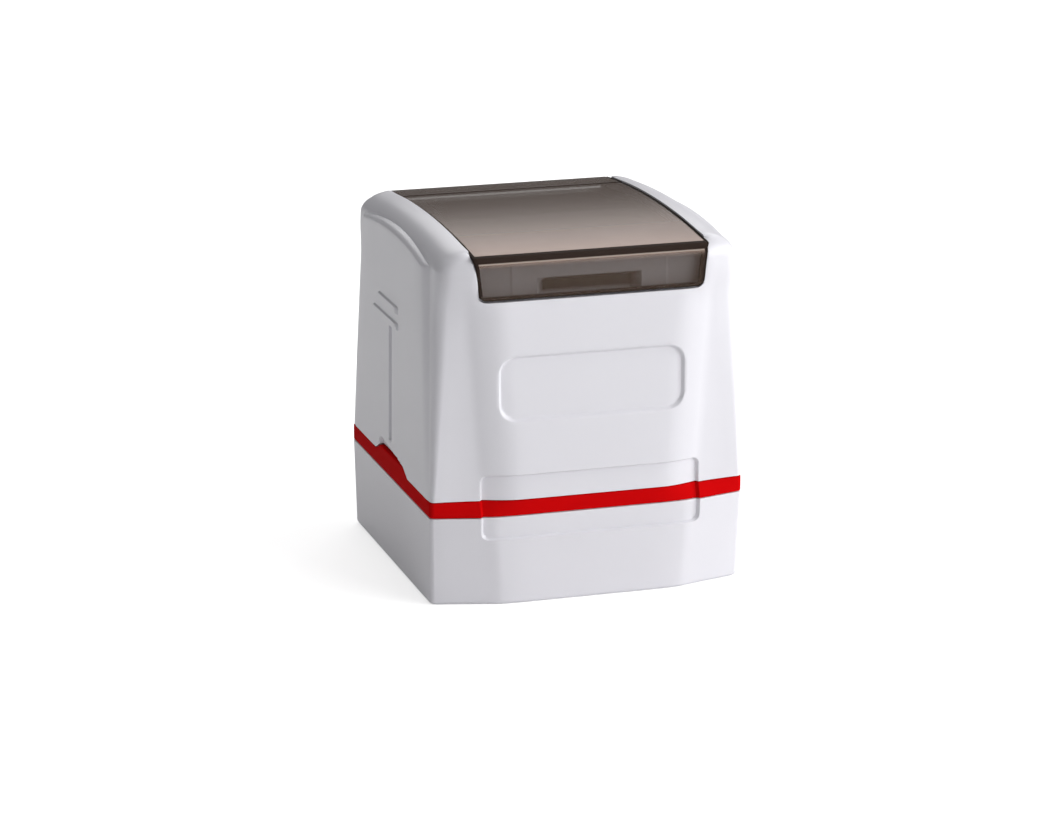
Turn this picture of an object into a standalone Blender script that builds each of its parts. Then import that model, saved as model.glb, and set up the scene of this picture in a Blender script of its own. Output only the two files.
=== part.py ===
"""Pre-inked stamp with a dust cap, a colour ring, a hinged smoked window and a sprung sleeve around its die.

Metres, +Z up. The origin is the middle of the footprint, at the bottom of the dust cap, and the front faces -Y.
"""

import math

import bmesh
import bpy
from mathutils import Vector

# Overall form
body_width = 0.0500
body_depth = 0.0517
total_height = 0.0559
facet_slope_share = 0.25
facet_width = 0.01055
facet_top_width = 0.004355
break_radius = 0.0120
round_limit_share = 0.45

# Dust cap
cap_height = 0.0140
cap_wall = 0.0018
cap_floor = 0.0018
cap_side_draft = 0.00013
cap_front_draft = 0.00065
cap_edge_round = 0.0007
cap_corner_radius = 0.0011
cap_lip_height = 0.0010
cap_lip_wall = 0.0008
cap_rib_width = 0.0012
cap_rib_spread = 0.0120
cap_round_share = 0.3

# Colour ring
ring_height = 0.00235
ring_skirt_wall = 0.00085
ring_skirt_height = 0.00115
ring_tongue_wall = 0.00060
ring_tongue_height = 0.00240
tab_base_half = 0.0093
tab_top_half = 0.0066
tab_rise = 0.0012
tab_depth = 0.0016
tab_back = 0.00065
tab_sink = 0.00025
seam = 0.00012

# Handle shell
shell_wall = 0.0018
front_lean_share = 0.026
side_lean_share = 0.044
pad_lean_share = 0.022
pad_relief = 0.00012
top_round_height = 0.0030
top_round_side = 0.0044
top_round_front = 0.0026
top_corner_radius = 0.0030
ring_corner_radius = 0.0009
arch_rise = 0.0015
deck_drop = 0.0040
deck_thickness = 0.0022
cavity_drop = 0.0099
upper_wall = 0.0042

# Side panels, their groove and marks
pad_front_gap_bottom = 0.0008
pad_front_gap_top = 0.0040
pad_arch_rise = 0.0020
pad_corner_drop = 0.0038
pad_edge = 0.0004
groove_width = 0.0015
groove_depth = 0.0009
groove_rise = 0.0033
groove_drop = 0.0175
mark_height = 0.0012
mark_relief = 0.0003
mark_lower_drop = 0.0167
mark_upper_drop = 0.0141
mark_front = 0.0044
mark_lower_length = 0.0143
mark_upper_length = 0.0113
scoop_half = 0.0062
scoop_rise = 0.0030
scoop_depth = 0.0008
scoop_back = 0.0012

# Front and rear recesses
recess_margin = 0.0076
recess_fall = 0.0034
recess_rise = 0.0039
recess_depth = 0.0006
pocket_margin = 0.0104
pocket_drop = 0.0171
pocket_height = 0.0098
pocket_depth = 0.0006
pocket_corner = 0.0026

# Smoked window cover
cover_thickness = 0.0015
cover_margin = 0.004275
ledge_taper = 0.00047
skirt_taper = 0.00137
cover_corner = 0.0011
cover_drop = 0.0003
skirt_drop = 0.0082
ledge_drop = 0.0027
ledge_step = 0.0004
cover_gap = 0.00015
hinge_barrel_radius = 0.0014
hinge_pin_radius = 0.00065
hinge_pin_length = 0.0011
hinge_clearance = 0.00008
swing_room = 0.0026
barrel_gap = 0.0002
notch_half = 0.0082
notch_height = 0.0024
notch_depth = 0.0013

# Index card
card_thickness = 0.0004
card_margin = 0.0009
card_end_margin = 0.0044

# Sleeve
sleeve_margin = 0.0036
sleeve_end_margin = 0.00445
sleeve_wall = 0.0014
shelf_place_share = 0.476
shelf_thickness = 0.0015
sleeve_corner = 0.0020
shelf_hole_gap_x = 0.0007
shelf_hole_gap_y = 0.0008
post_radius = 0.0016
post_entry = 0.0030
post_margin = 0.0044

# Die, frame, pad and carrier
die_retraction = 0.0030
die_relief = 0.0006
die_thickness = 0.0023
die_margin = 0.0018
die_flange = 0.0015
die_flange_thickness = 0.0007
die_border_width = 0.0010
die_bar_height = 0.0016
frame_wall = 0.0008
frame_height = 0.0073
frame_lip = 0.0008
frame_corner = 0.0012
pad_height = 0.0040
carrier_wall = 0.0012
carrier_plate = 0.0018
column_half = 0.0075
column_core_half = 0.0026
column_core_rise = 0.0039
rib_gap = 0.0012
rib_width = 0.0014
rib_end_margin = 0.0035
tube_radius = 0.0024
tube_bore = 0.0013
tube_spread = 0.0094

# Screws and plugs
screw_plan = (0.0046, 0.0046)
screw_head_radius = 0.0020
screw_head_height = 0.0011
screw_shank_radius = 0.0011
screw_length = 0.0063
pilot_room = 0.0012
cross_width = 0.0005
cross_depth = 0.0006
plug_head_radius = 0.0026
plug_head_height = 0.0006
plug_stem_radius = 0.0011
plug_stem_length = 0.0050

# Springs and their seats
spring_radius = 0.00255
spring_wire = 0.00035
spring_pitch = 0.00172
spring_points = 10
boss_radius = 0.0034
boss_length = 0.0080

# Fits
gap = 0.0003
side_fit = 0.0004
overrun = 0.0020

# Derived levels and half sizes
half_width = body_width / 2
half_depth = body_depth / 2
break_half_width = half_width - facet_width
ring_bottom = cap_height + seam
ring_top = ring_bottom + ring_height
shell_bottom = ring_top + seam
deck_top = total_height - deck_drop
deck_bottom = deck_top - deck_thickness
cavity_top = total_height - cavity_drop
boss_bottom = cavity_top - boss_length
cover_apex = total_height - cover_drop
skirt_bottom = total_height - skirt_drop
ledge_height = total_height - ledge_drop
crown_half_width = half_width - pad_relief - side_lean_share * (total_height - ring_top)
break_top_half = crown_half_width - facet_top_width
cover_half_top = crown_half_width - cover_margin
cover_half_ledge = cover_half_top - ledge_taper
cover_half_bottom = cover_half_top - skirt_taper
pad_corner_height = total_height - pad_corner_drop
groove_low = shell_bottom + groove_rise
groove_high = total_height - groove_drop
scoop_top = shell_bottom + scoop_rise
recess_half = half_width - recess_margin
recess_low = cap_height - recess_fall
recess_high = shell_bottom + recess_rise
pocket_half = half_width - pocket_margin
pocket_high = total_height - pocket_drop
pocket_low = pocket_high - pocket_height
sleeve_bottom = cap_floor + gap
die_face = sleeve_bottom + die_retraction
die_bottom = die_face + die_relief
flange_bottom = die_bottom + die_thickness
flange_top = flange_bottom + die_flange_thickness
frame_bottom = flange_bottom - gap - frame_lip
tray_bottom = flange_top + gap
tray_ceiling = tray_bottom + pad_height + gap
plate_top = tray_ceiling + carrier_plate
column_core_bottom = plate_top + column_core_rise
column_top = deck_bottom - gap
sleeve_top = plate_top + shelf_place_share * (boss_bottom - plate_top)
shelf_bottom = sleeve_top - shelf_thickness
post_top = boss_bottom + post_entry
rib_top = shelf_bottom - gap
shelf_hole_x = tube_spread + tube_radius + shelf_hole_gap_x
shelf_hole_y = column_half + shelf_hole_gap_y
rib_place = shelf_hole_y + rib_gap + rib_width / 2


def within(plan, margin):
    """The half sizes of a rectangle that lies inside another by the same margin all round."""
    return (plan[0] - margin, plan[1] - margin)


sleeve_plan = (half_width - sleeve_margin, half_depth - sleeve_end_margin)
sleeve_inner = within(sleeve_plan, sleeve_wall)
post_plan = within(sleeve_plan, post_margin)
frame_plan = within(sleeve_inner, side_fit)
frame_inner = within(frame_plan, frame_wall)
die_plan = within(frame_inner, die_margin)
carrier_plan = within(frame_inner, gap)
carrier_inner = within(carrier_plan, carrier_wall)

collection_parts = bpy.data.collections.new("pre_inked_stamp")
collection_cutters = bpy.data.collections.new("cutters")


def clear_scene():
    for thing in list(bpy.data.objects):
        bpy.data.objects.remove(thing)
    bpy.context.scene.collection.children.link(collection_parts)
    bpy.context.scene.collection.children.link(collection_cutters)


# Materials

def material(name, colour, roughness, alpha=1.0, metallic=0.0):
    made = bpy.data.materials.new(name)
    made.use_nodes = True
    shader = made.node_tree.nodes["Principled BSDF"]
    shader.inputs["Base Color"].default_value = (*colour, 1.0)
    shader.inputs["Roughness"].default_value = roughness
    shader.inputs["Metallic"].default_value = metallic
    shader.inputs["Alpha"].default_value = alpha
    made.diffuse_color = (*colour, alpha)
    return made


# Mesh helpers

def as_object(name, bm, made=None):
    """Closes a bmesh into an object; a piece with a material is a part, and one without is a cutter."""
    bmesh.ops.recalc_face_normals(bm, faces=bm.faces)
    mesh = bpy.data.meshes.new(name)
    bm.to_mesh(mesh)
    bm.free()
    thing = bpy.data.objects.new(name, mesh)
    if made is None:
        collection_cutters.objects.link(thing)
        thing.hide_render = True
        thing.display_type = "WIRE"
    else:
        mesh.materials.append(made)
        collection_parts.objects.link(thing)
    return thing


def loft(rings, ruled_top=False):
    """A closed solid through rings of equal length; a ruled top spans an arched ring from side to side."""
    bm = bmesh.new()
    rows = [[bm.verts.new(point) for point in ring] for ring in rings]
    count = len(rows[0])
    for low, high in zip(rows, rows[1:]):
        for i in range(count):
            j = (i + 1) % count
            bm.faces.new((low[i], low[j], high[j], high[i]))
    bm.faces.new(rows[0][::-1])
    if ruled_top:
        top = rows[-1]
        for i in range(count // 2 - 1):
            bm.faces.new((top[i], top[i + 1], top[count - 2 - i], top[count - 1 - i]))
    else:
        bm.faces.new(rows[-1])
    return bm


def box(low, high, corner=0.0, steps=3):
    """A box from its low to its high corner, with its upright edges rounded by corner."""
    bm = bmesh.new()
    bmesh.ops.create_cube(bm, size=1)
    size = Vector(high) - Vector(low)
    middle = (Vector(high) + Vector(low)) / 2
    bmesh.ops.scale(bm, vec=size, verts=bm.verts)
    bmesh.ops.translate(bm, vec=middle, verts=bm.verts)
    if corner > 0:
        round_edges(bm, 2, corner, steps)
    return bm


def round_edges(bm, axis, corner, steps):
    """Rounds the edges of a bmesh that run along one axis."""
    edges = [e for e in bm.edges if abs((e.verts[0].co - e.verts[1].co).normalized()[axis]) > 0.9]
    bmesh.ops.bevel(bm, geom=edges, offset=corner, segments=steps, profile=0.5, affect="EDGES")


def slab(plan, low, high, corner=0.0):
    """A block around the middle axis, given by its half sizes."""
    return box((-plan[0], -plan[1], low), (plan[0], plan[1], high), corner)


def rod(x, y, low, high, radius, sides=20):
    """An upright cylinder."""
    bm = bmesh.new()
    bmesh.ops.create_cone(bm, cap_ends=True, segments=sides, radius1=radius, radius2=radius, depth=high - low)
    bmesh.ops.translate(bm, vec=(x, y, (low + high) / 2), verts=bm.verts)
    return bm


def cross_rod(x_low, x_high, y, z, radius, sides=24):
    """A cylinder along X."""
    bm = rod(0.0, 0.0, x_low, x_high, radius, sides)
    for vert in bm.verts:
        vert.co = Vector((vert.co.z, vert.co.x + y, vert.co.y + z))
    return bm


def boolean(target, tool, operation):
    step = target.modifiers.new(tool.name, "BOOLEAN")
    step.operation = operation
    step.object = tool
    step.solver = "EXACT"


def cut(target, name, bm):
    boolean(target, as_object(name, bm), "DIFFERENCE")


def join(target, name, bm):
    boolean(target, as_object(name, bm), "UNION")


def smooth(thing, angle_degrees=35):
    thing.data.shade_smooth()
    thing.data.set_sharp_from_angle(angle=math.radians(angle_degrees))


# The plan outline of the body

def lean(z):
    return max(z - ring_top, 0.0)


def fall(z):
    """How far below its top a level of the cap lies, as a share of the cap's height."""
    return max(cap_height - z, 0.0) / cap_height


def half_width_at(z):
    relief = pad_relief if z > ring_top else 0.0
    return half_width - relief - side_lean_share * lean(z) - cap_side_draft * fall(z)


def half_depth_at(z):
    return half_depth - front_lean_share * lean(z) - cap_front_draft * fall(z)


def break_at(z):
    """Half the width of the centre panel, which widens upwards."""
    return break_half_width + (break_top_half - break_half_width) * z / total_height


def meet(a, b):
    """Where two lines cross, each given as normal x, normal y and distance."""
    det = a[0] * b[1] - a[1] * b[0]
    return ((a[2] * b[1] - b[2] * a[1]) / det, (a[0] * b[2] - b[0] * a[2]) / det)


def rounded(before, corner, after, radius, steps, room=math.inf):
    """An arc that rounds one corner of an outline, kept within the room on its sides."""
    corner = Vector(corner)
    to_before = (Vector(before) - corner).normalized()
    to_after = (Vector(after) - corner).normalized()
    half_angle = to_before.angle(to_after) / 2
    radius = min(radius, room * math.tan(half_angle))
    reach = radius / math.tan(half_angle)
    centre = corner + (to_before + to_after).normalized() * (radius / math.sin(half_angle))
    start = corner + to_before * reach - centre
    sweep = math.pi - 2 * half_angle
    side = 1 if to_before.x * to_after.y - to_before.y * to_after.x < 0 else -1
    points = []
    for k in range(steps + 1):
        turn = side * sweep * k / steps
        c, s = math.cos(turn), math.sin(turn)
        points.append((centre.x + c * start.x - s * start.y, centre.y + s * start.x + c * start.y))
    return points


def body_outline(z, inset=0.0, side_inset=None, corner=None, corner_steps=3, side_steps=1):
    """The plan of the body at a level: a centre panel and two facets on the front and rear, and plain sides."""
    side_inset = inset if side_inset is None else side_inset
    width, depth = half_width_at(z), half_depth_at(z)
    corner = cap_corner_radius if corner is None else corner
    break_x = break_at(z)
    length = math.hypot(1, facet_slope_share)
    normal = (facet_slope_share / length, -1 / length)
    front = (0.0, -1.0, depth - inset)
    facet = (*normal, normal[0] * break_x - normal[1] * depth - inset)
    side = (1.0, 0.0, width - side_inset)
    p1, p2 = meet(front, facet), meet(facet, side)
    right = [p1, p2, (p2[0], -p2[1]), (p1[0], -p1[1])]
    ring = [(-p1[0], p1[1])] + right + [(-p1[0], -p1[1])]
    room = round_limit_share * math.dist(p1, p2)
    half = rounded(ring[0], ring[1], ring[2], break_radius, 2, room)
    half += rounded(ring[1], ring[2], ring[3], corner, corner_steps, room)
    rear = [(x, -y) for x, y in reversed(half)]
    start, end = half[-1], rear[0]
    for k in range(1, side_steps):
        share = k / side_steps
        half.append((start[0] + (end[0] - start[0]) * share, start[1] + (end[1] - start[1]) * share))
    half += rear
    return half + [(-x, y) for x, y in reversed(half)]


def body_ring(z, **options):
    return [(x, y, z) for x, y in body_outline(z, **options)]


def body_core(inset, low, high, levels=()):
    """A solid that follows the whole body's skin at an inset, with a ring at each change of slope."""
    stops = [low] + [z for z in levels if low < z < high] + [high]
    return loft([body_ring(z, inset=inset) for z in stops])


def arch_drop(y):
    return arch_rise * (y / half_depth) ** 2


# Dust cap

def make_cap(made):
    near = cap_edge_round * cap_round_share
    rings = [body_ring(0.0, inset=cap_edge_round), body_ring(near, inset=near), body_ring(cap_edge_round),
             body_ring(cap_height)]
    cap = as_object("dust_cap", loft(rings), made)
    lip_top = cap_height + cap_lip_height
    lip_inset = cap_wall - cap_lip_wall
    lip = [body_ring(cap_height - overrun, inset=lip_inset), body_ring(lip_top, inset=lip_inset)]
    join(cap, "cap_lip", loft(lip))
    hollow = [body_ring(cap_floor, inset=cap_wall), body_ring(cap_height, inset=cap_wall),
              body_ring(lip_top + overrun, inset=cap_wall)]
    cut(cap, "cap_hollow", loft(hollow))
    reach, reach_y = within(sleeve_plan, -gap)
    outer = half_width - cap_wall / 2
    outer_y = half_depth_at(cap_floor) - cap_wall / 2
    for sign in (-1, 1):
        for place in (-cap_rib_spread, cap_rib_spread):
            low, high = place - cap_rib_width / 2, place + cap_rib_width / 2
            x_ends, y_ends = sorted((sign * reach, sign * outer)), sorted((sign * reach_y, sign * outer_y))
            bottom, top = cap_floor / 2, cap_height - overrun
            join(cap, "side_rib", box((x_ends[0], low, bottom), (x_ends[1], high, top)))
            join(cap, "front_rib", box((low, y_ends[0], bottom), (high, y_ends[1], top)))
    return cap


# Colour ring

def tab_shape(clearance, depth, sink):
    """The trapezoid tab of the ring, or the notch for it, on both sides of the body."""
    solids = []
    top = ring_top + tab_rise + clearance
    base = ring_bottom + ring_height / 2
    for sign in (-1, 1):
        outer, inner = sign * (half_width - sink), sign * (half_width - depth)
        outline = [(-tab_base_half - clearance, base), (tab_base_half + clearance, base),
                   (tab_base_half + clearance, ring_top), (tab_top_half + clearance, top),
                   (-tab_top_half - clearance, top), (-tab_base_half - clearance, ring_top)]
        rings = [[(x, y - tab_back, z) for y, z in outline] for x in (inner, outer)]
        solids.append(loft(rings))
    return solids


def make_ring(made):
    web_bottom = ring_bottom + ring_skirt_height
    ring = as_object("colour_ring", body_core(0.0, ring_bottom, ring_top), made)
    inner = shell_wall + 2 * seam
    tongue = [body_ring(web_bottom + seam, inset=inner), body_ring(ring_top, inset=inner),
              body_ring(ring_top + ring_tongue_height, inset=inner)]
    join(ring, "ring_tongue", loft(tongue))
    for solid in tab_shape(0.0, tab_depth, tab_sink):
        join(ring, "ring_tab", solid)
    hollow_inset = inner + ring_tongue_wall
    hollow = [body_ring(ring_bottom - overrun, inset=hollow_inset), body_ring(ring_top, inset=hollow_inset),
              body_ring(ring_top + ring_tongue_height + overrun, inset=hollow_inset)]
    cut(ring, "ring_hollow", loft(hollow))
    skirt = [body_ring(ring_bottom - overrun, inset=ring_skirt_wall), body_ring(web_bottom, inset=ring_skirt_wall)]
    cut(ring, "ring_skirt_hollow", loft(skirt))
    return ring


# Handle shell

def arched_ring(z, inset, side_inset, corner):
    """A level of the shell's crown: the plan outline, dropped towards the front and rear like the arch."""
    flat = body_outline(z, inset=inset, side_inset=side_inset, corner=corner, corner_steps=4, side_steps=10)
    return [(x, y, z - arch_drop(y)) for x, y in flat]


def shell_blank():
    shoulder = total_height - top_round_height
    low = body_outline(shell_bottom, corner=ring_corner_radius, corner_steps=4, side_steps=10)
    rings = [[(x, y, shell_bottom) for x, y in low]]
    steps = 6
    for k in range(steps + 1):
        angle = math.pi / 2 * k / steps
        z = shoulder + top_round_height * math.sin(angle)
        inward = 1 - math.cos(angle)
        rings.append(arched_ring(z, top_round_front * inward, top_round_side * inward, top_corner_radius))
    return loft(rings, ruled_top=True)


def side_pad(sign):
    """The raised side panel: an arched outline whose plane leans less than the shell behind it."""
    corner_y = half_depth - facet_slope_share * (half_width - break_at(ring_top))
    steps = 10

    def outline(grow):
        low = shell_bottom
        foot = corner_y - pad_front_gap_bottom + grow
        head = corner_y - pad_front_gap_top + grow
        points = [(-foot, low), (foot, low)]
        for k in range(steps + 1):
            y = head * (1 - 2 * k / steps)
            crown = pad_corner_height + pad_arch_rise * (1 - (y / head) ** 2)
            points.append((y, crown + grow))
        return points

    def plane(z, sink):
        return sign * (half_width - pad_lean_share * lean(z) - sink)

    rings = [[(plane(z, shell_wall), y, z) for y, z in outline(0.0)],
             [(plane(z, pad_edge), y, z) for y, z in outline(0.0)],
             [(plane(z, 0.0), y, z) for y, z in outline(-pad_edge)]]
    return loft(rings)


def cover_view(grow):
    """The cover's outline seen from the front, as a solid along Y that passes through the whole body."""
    top = total_height + overrun
    reach = half_depth + overrun
    half_low, half_ledge, half_top = cover_half_bottom + grow, cover_half_ledge + grow, cover_half_top + grow
    low = skirt_bottom - grow
    half = rounded((half_low, low), (-half_low, low), (-half_ledge, ledge_height), cover_corner, 3)
    half += [(-half_ledge, ledge_height), (-half_top, ledge_height + cover_corner), (-half_top, top)]
    outline = half + [(-x, z) for x, z in reversed(half)]
    return loft([[(x, y, z) for x, z in outline] for y in (-reach, reach)])


def window_seat(shell):
    """Cuts the channel across the crown and the rebates for both skirts, and leaves the deck between them."""
    face = half_depth_at(skirt_bottom) - cover_thickness - gap
    channel = as_object("cover_channel", cover_view(cover_gap))
    cut(channel, "deck_block", slab((half_width, face), skirt_bottom - overrun, deck_top))
    boolean(shell, channel, "DIFFERENCE")
    y, z = hinge_axis()
    room = hinge_barrel_radius + barrel_gap
    half = cover_half_bottom + cover_gap
    cut(shell, "barrel_room", cross_rod(-half, half, y, z, room, 24))
    reach_x = half + hinge_pin_length + barrel_gap
    cut(shell, "pin_holes", cross_rod(-reach_x, reach_x, y, z, hinge_pin_radius + hinge_clearance, 16))
    notch = box((-notch_half, -face - overrun, skirt_bottom - cover_gap),
                (notch_half, -face + notch_depth, skirt_bottom + notch_height))
    cut(shell, "finger_notch", notch)


def side_details(shell, sign):
    y_half = groove_width / 2
    outer = sign * (half_width + overrun)

    def wall(z, depth):
        return sign * (half_width - pad_lean_share * lean(z) - depth)

    def block(y_low, y_high, z_low, z_high, depth, proud):
        low, high = wall(z_low, depth), wall(z_high, depth)
        out_low, out_high = (wall(z_low, -proud), wall(z_high, -proud)) if proud else (outer, outer)
        lower = [(low, y_low, z_low), (out_low, y_low, z_low), (out_low, y_high, z_low), (low, y_high, z_low)]
        upper = [(high, y_low, z_high), (out_high, y_low, z_high), (out_high, y_high, z_high),
                 (high, y_high, z_high)]
        return loft([lower, upper])

    for drop, length in ((mark_lower_drop, mark_lower_length), (mark_upper_drop, mark_upper_length)):
        level = total_height - drop
        mark = block(-mark_front, length - mark_front, level - mark_height / 2, level + mark_height / 2,
                     shell_wall / 2, mark_relief)
        join(shell, "mark", mark)
    cut(shell, "groove", block(-y_half, y_half, groove_low, groove_high - mark_height / 2, groove_depth, 0.0))
    scoop = block(-scoop_half - scoop_back, scoop_half - scoop_back, shell_bottom - overrun, scoop_top,
                  scoop_depth, 0.0)
    cut(shell, "scoop", scoop)


def make_shell(made):
    shell = as_object("handle_shell", shell_blank(), made)
    for sign in (-1, 1):
        join(shell, "side_pad", side_pad(sign))
    cavity = [body_ring(shell_bottom - overrun, inset=shell_wall), body_ring(cavity_top, inset=shell_wall)]
    cut(shell, "main_cavity", loft(cavity))
    upper = [body_ring(cavity_top - overrun, inset=upper_wall), body_ring(deck_bottom, inset=upper_wall)]
    cut(shell, "upper_cavity", loft(upper))
    for x, y, _ in corners(post_plan):
        join(shell, "spring_boss", rod(x, y, boss_bottom, deck_bottom + deck_thickness / 2, boss_radius, 16))
    for x, y, _ in corners(post_plan):
        bore = rod(x, y, boss_bottom - overrun, cavity_top, post_radius + gap, 16)
        cut(shell, "boss_bore", bore)
    window_seat(shell)
    for sign in (-1, 1):
        side_details(shell, sign)
    for solid in tab_shape(seam, tab_depth + gap, -overrun):
        cut(shell, "tab_notch", solid)
    for x, y, _ in corners(screw_plan):
        cut(shell, "screw_hole", rod(x, y, deck_bottom - overrun, deck_top + overrun, screw_shank_radius + gap, 12))
        seat = deck_top - screw_head_height - gap
        cut(shell, "screw_seat", rod(x, y, seat, deck_top + overrun, screw_head_radius + gap, 16))
    for sign in (-1, 1):
        x = sign * tube_spread
        cut(shell, "plug_hole", rod(x, 0.0, deck_bottom - overrun, deck_top + overrun, tube_bore + gap / 2, 16))
        seat = deck_top - plug_head_height - gap
        cut(shell, "plug_seat", rod(x, 0.0, seat, deck_top + overrun, plug_head_radius + gap, 16))
    boolean(shell, pocket_cutter(), "DIFFERENCE")
    return shell


def corners(plan):
    """The four corners of a rectangle, with the names that the pieces there take."""
    names = {(-1, -1): "front_left", (1, -1): "front_right", (-1, 1): "rear_left", (1, 1): "rear_right"}
    return [(x * plan[0], y * plan[1], name) for (x, y), name in names.items()]


def pocket_cutter():
    """The bare front pocket, a rounded block tilted like the front wall."""
    bm = box((-pocket_half, -overrun, -pocket_height / 2), (pocket_half, pocket_depth, pocket_height / 2))
    round_edges(bm, 1, pocket_corner, 4)
    cutter = as_object("front_pocket", bm)
    middle = (pocket_low + pocket_high) / 2
    cutter.location = (0.0, -half_depth_at(middle), middle)
    cutter.rotation_euler.x = -math.atan(front_lean_share)
    return cutter


def recess_cutters():
    """A band that follows the front or rear skin at the recess's depth, across shell, ring and cap."""
    cutters = []
    for sign in (-1, 1):
        y_ends = sorted((0.0, sign * (half_depth + overrun)))
        bm = box((-recess_half, y_ends[0], recess_low), (recess_half, y_ends[1], recess_high))
        round_edges(bm, 1, cover_corner, 3)
        band = as_object("recess_band", bm)
        core = body_core(recess_depth, 0.0, total_height, (cap_height, ring_top))
        boolean(band, as_object("recess_core", core), "DIFFERENCE")
        cutters.append(band)
    return cutters


# Window cover

def hinge_axis():
    """The pivot, at the lower end of the rear skirt: its Y and Z."""
    z = skirt_bottom + hinge_barrel_radius
    return half_depth_at(z) - hinge_barrel_radius, z


def cover_top(y):
    return cover_apex - arch_drop(y)


def make_cover(made):
    """A bent strip of even wall: front skirt, ledge, arch and rear skirt, ending in the hinge barrel."""
    y_hinge, z_hinge = hinge_axis()
    ledge_y = half_depth_at(ledge_height)
    ridge_y = ledge_y - ledge_step
    steps = 12
    arch = [ridge_y * (2 * k / steps - 1) for k in range(steps + 1)]
    outer = [(-half_depth_at(skirt_bottom), skirt_bottom), (-ledge_y, ledge_height),
             (-ridge_y, ledge_height + ledge_step / 2)]
    outer += [(y, cover_top(y)) for y in arch]
    outer += [(ridge_y, ledge_height + ledge_step / 2), (ledge_y, ledge_height), (half_depth_at(z_hinge), z_hinge)]
    wall = cover_thickness
    inner_y = ridge_y - wall + ledge_step
    inner = [(half_depth_at(z_hinge) - wall, z_hinge)]
    inner += [(y * inner_y / ridge_y, cover_top(y) - wall) for y in reversed(arch)]
    inner += [(wall - half_depth_at(skirt_bottom), skirt_bottom)]
    profile = outer + inner
    half = cover_half_top
    bm = loft([[(x, y, z) for y, z in profile] for x in (-half, half)])
    cover = as_object("window_cover", bm, made)
    boolean(cover, as_object("cover_outline", cover_view(0.0)), "INTERSECT")
    length = cover_half_bottom - cover_gap
    for sign in (-1, 1):
        x_ends = sorted((sign * length, sign * half_width))
        relief = box((x_ends[0], 0.0, skirt_bottom - overrun),
                     (x_ends[1], half_depth + overrun, z_hinge + swing_room))
        cut(cover, "swing_relief", relief)
    join(cover, "hinge_barrel", cross_rod(-length, length, y_hinge, z_hinge, hinge_barrel_radius, 24))
    reach_x = length + hinge_pin_length
    join(cover, "hinge_pins", cross_rod(-reach_x, reach_x, y_hinge, z_hinge, hinge_pin_radius, 16))
    return cover


def make_card(made):
    half_x = cover_half_top - card_margin
    half_y = half_depth - card_end_margin
    low = deck_top + gap
    return as_object("index_card", box((-half_x, -half_y, low), (half_x, half_y, low + card_thickness)), made)


# Sleeve

def make_sleeve(made):
    sleeve = as_object("sleeve", slab(sleeve_plan, sleeve_bottom, sleeve_top, sleeve_corner), made)
    inner = slab(sleeve_inner, sleeve_bottom - overrun, shelf_bottom, sleeve_corner - sleeve_wall / 2)
    cut(sleeve, "sleeve_hollow", inner)
    hole = slab((shelf_hole_x, shelf_hole_y), shelf_bottom - overrun, sleeve_top + overrun, sleeve_corner)
    cut(sleeve, "shelf_hole", hole)
    for x, y, _ in corners(post_plan):
        join(sleeve, "guide_post", rod(x, y, sleeve_top - shelf_thickness / 2, post_top, post_radius, 12))
    return sleeve


# Die, frame, pad and carrier

def make_die(made):
    die = as_object("stamp_die", slab(die_plan, die_bottom, flange_top, frame_corner), made)
    join(die, "die_flange", slab(within(die_plan, gap - die_flange), flange_bottom, flange_top, frame_corner))
    edge = within(die_plan, die_border_width)
    border = as_object("die_border", slab(edge, die_face, die_bottom + die_relief / 2))
    field = within(edge, die_border_width)
    cut(border, "border_hole", slab(field, die_face - overrun, flange_top))
    boolean(die, border, "UNION")
    rows = 3
    pitch = 2 * field[1] / (rows + 1)
    half_length = field[0] - 2 * die_border_width
    for k in range(rows):
        y = -field[1] + pitch * (k + 1)
        bar = box((-half_length, y - die_bar_height / 2, die_face),
                  (half_length, y + die_bar_height / 2, die_bottom + die_relief / 2))
        join(die, "die_bar", bar)
    return die


def make_frame(made):
    top = frame_bottom + frame_height
    frame = as_object("die_frame", slab(frame_plan, frame_bottom, top, frame_corner), made)
    cut(frame, "frame_hollow", slab(frame_inner, frame_bottom + frame_lip, top + overrun, frame_corner / 2))
    window = slab(within(die_plan, -gap), frame_bottom - overrun, top, frame_corner)
    cut(frame, "frame_window", window)
    return frame


def make_pad(made):
    plan = within(carrier_inner, gap)
    return as_object("ink_pad", slab(plan, tray_bottom, tray_bottom + pad_height, frame_corner), made)


def make_carrier(made):
    carrier = as_object("die_carrier", slab(carrier_plan, tray_bottom, plate_top, frame_corner), made)
    tray = slab(carrier_inner, tray_bottom - overrun, tray_ceiling, frame_corner / 2)
    cut(carrier, "tray_hollow", tray)
    foot = plate_top - carrier_plate / 2
    join(carrier, "column", slab((column_half, column_half), foot, column_top, frame_corner))
    rib_half = carrier_plan[0] - rib_end_margin
    for sign in (-1, 1):
        tube = rod(sign * tube_spread, 0.0, foot, column_top, tube_radius, 20)
        join(carrier, "ink_tube", tube)
        y = sign * rib_place
        rib = box((-rib_half, y - rib_width / 2, foot), (rib_half, y + rib_width / 2, rib_top))
        join(carrier, "stop_rib", rib)
    core = (column_core_half, column_core_half)
    cut(carrier, "column_core", slab(core, column_core_bottom, column_top + overrun))
    for sign in (-1, 1):
        bore = rod(sign * tube_spread, 0.0, tray_ceiling - overrun / 2, column_top + overrun, tube_bore, 12)
        cut(carrier, "ink_bore", bore)
    pilot_bottom = deck_top - gap - screw_head_height - screw_length - pilot_room
    for x, y, _ in corners(screw_plan):
        cut(carrier, "pilot_hole", rod(x, y, pilot_bottom, column_top + overrun, screw_shank_radius + gap, 12))
    return carrier


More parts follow.
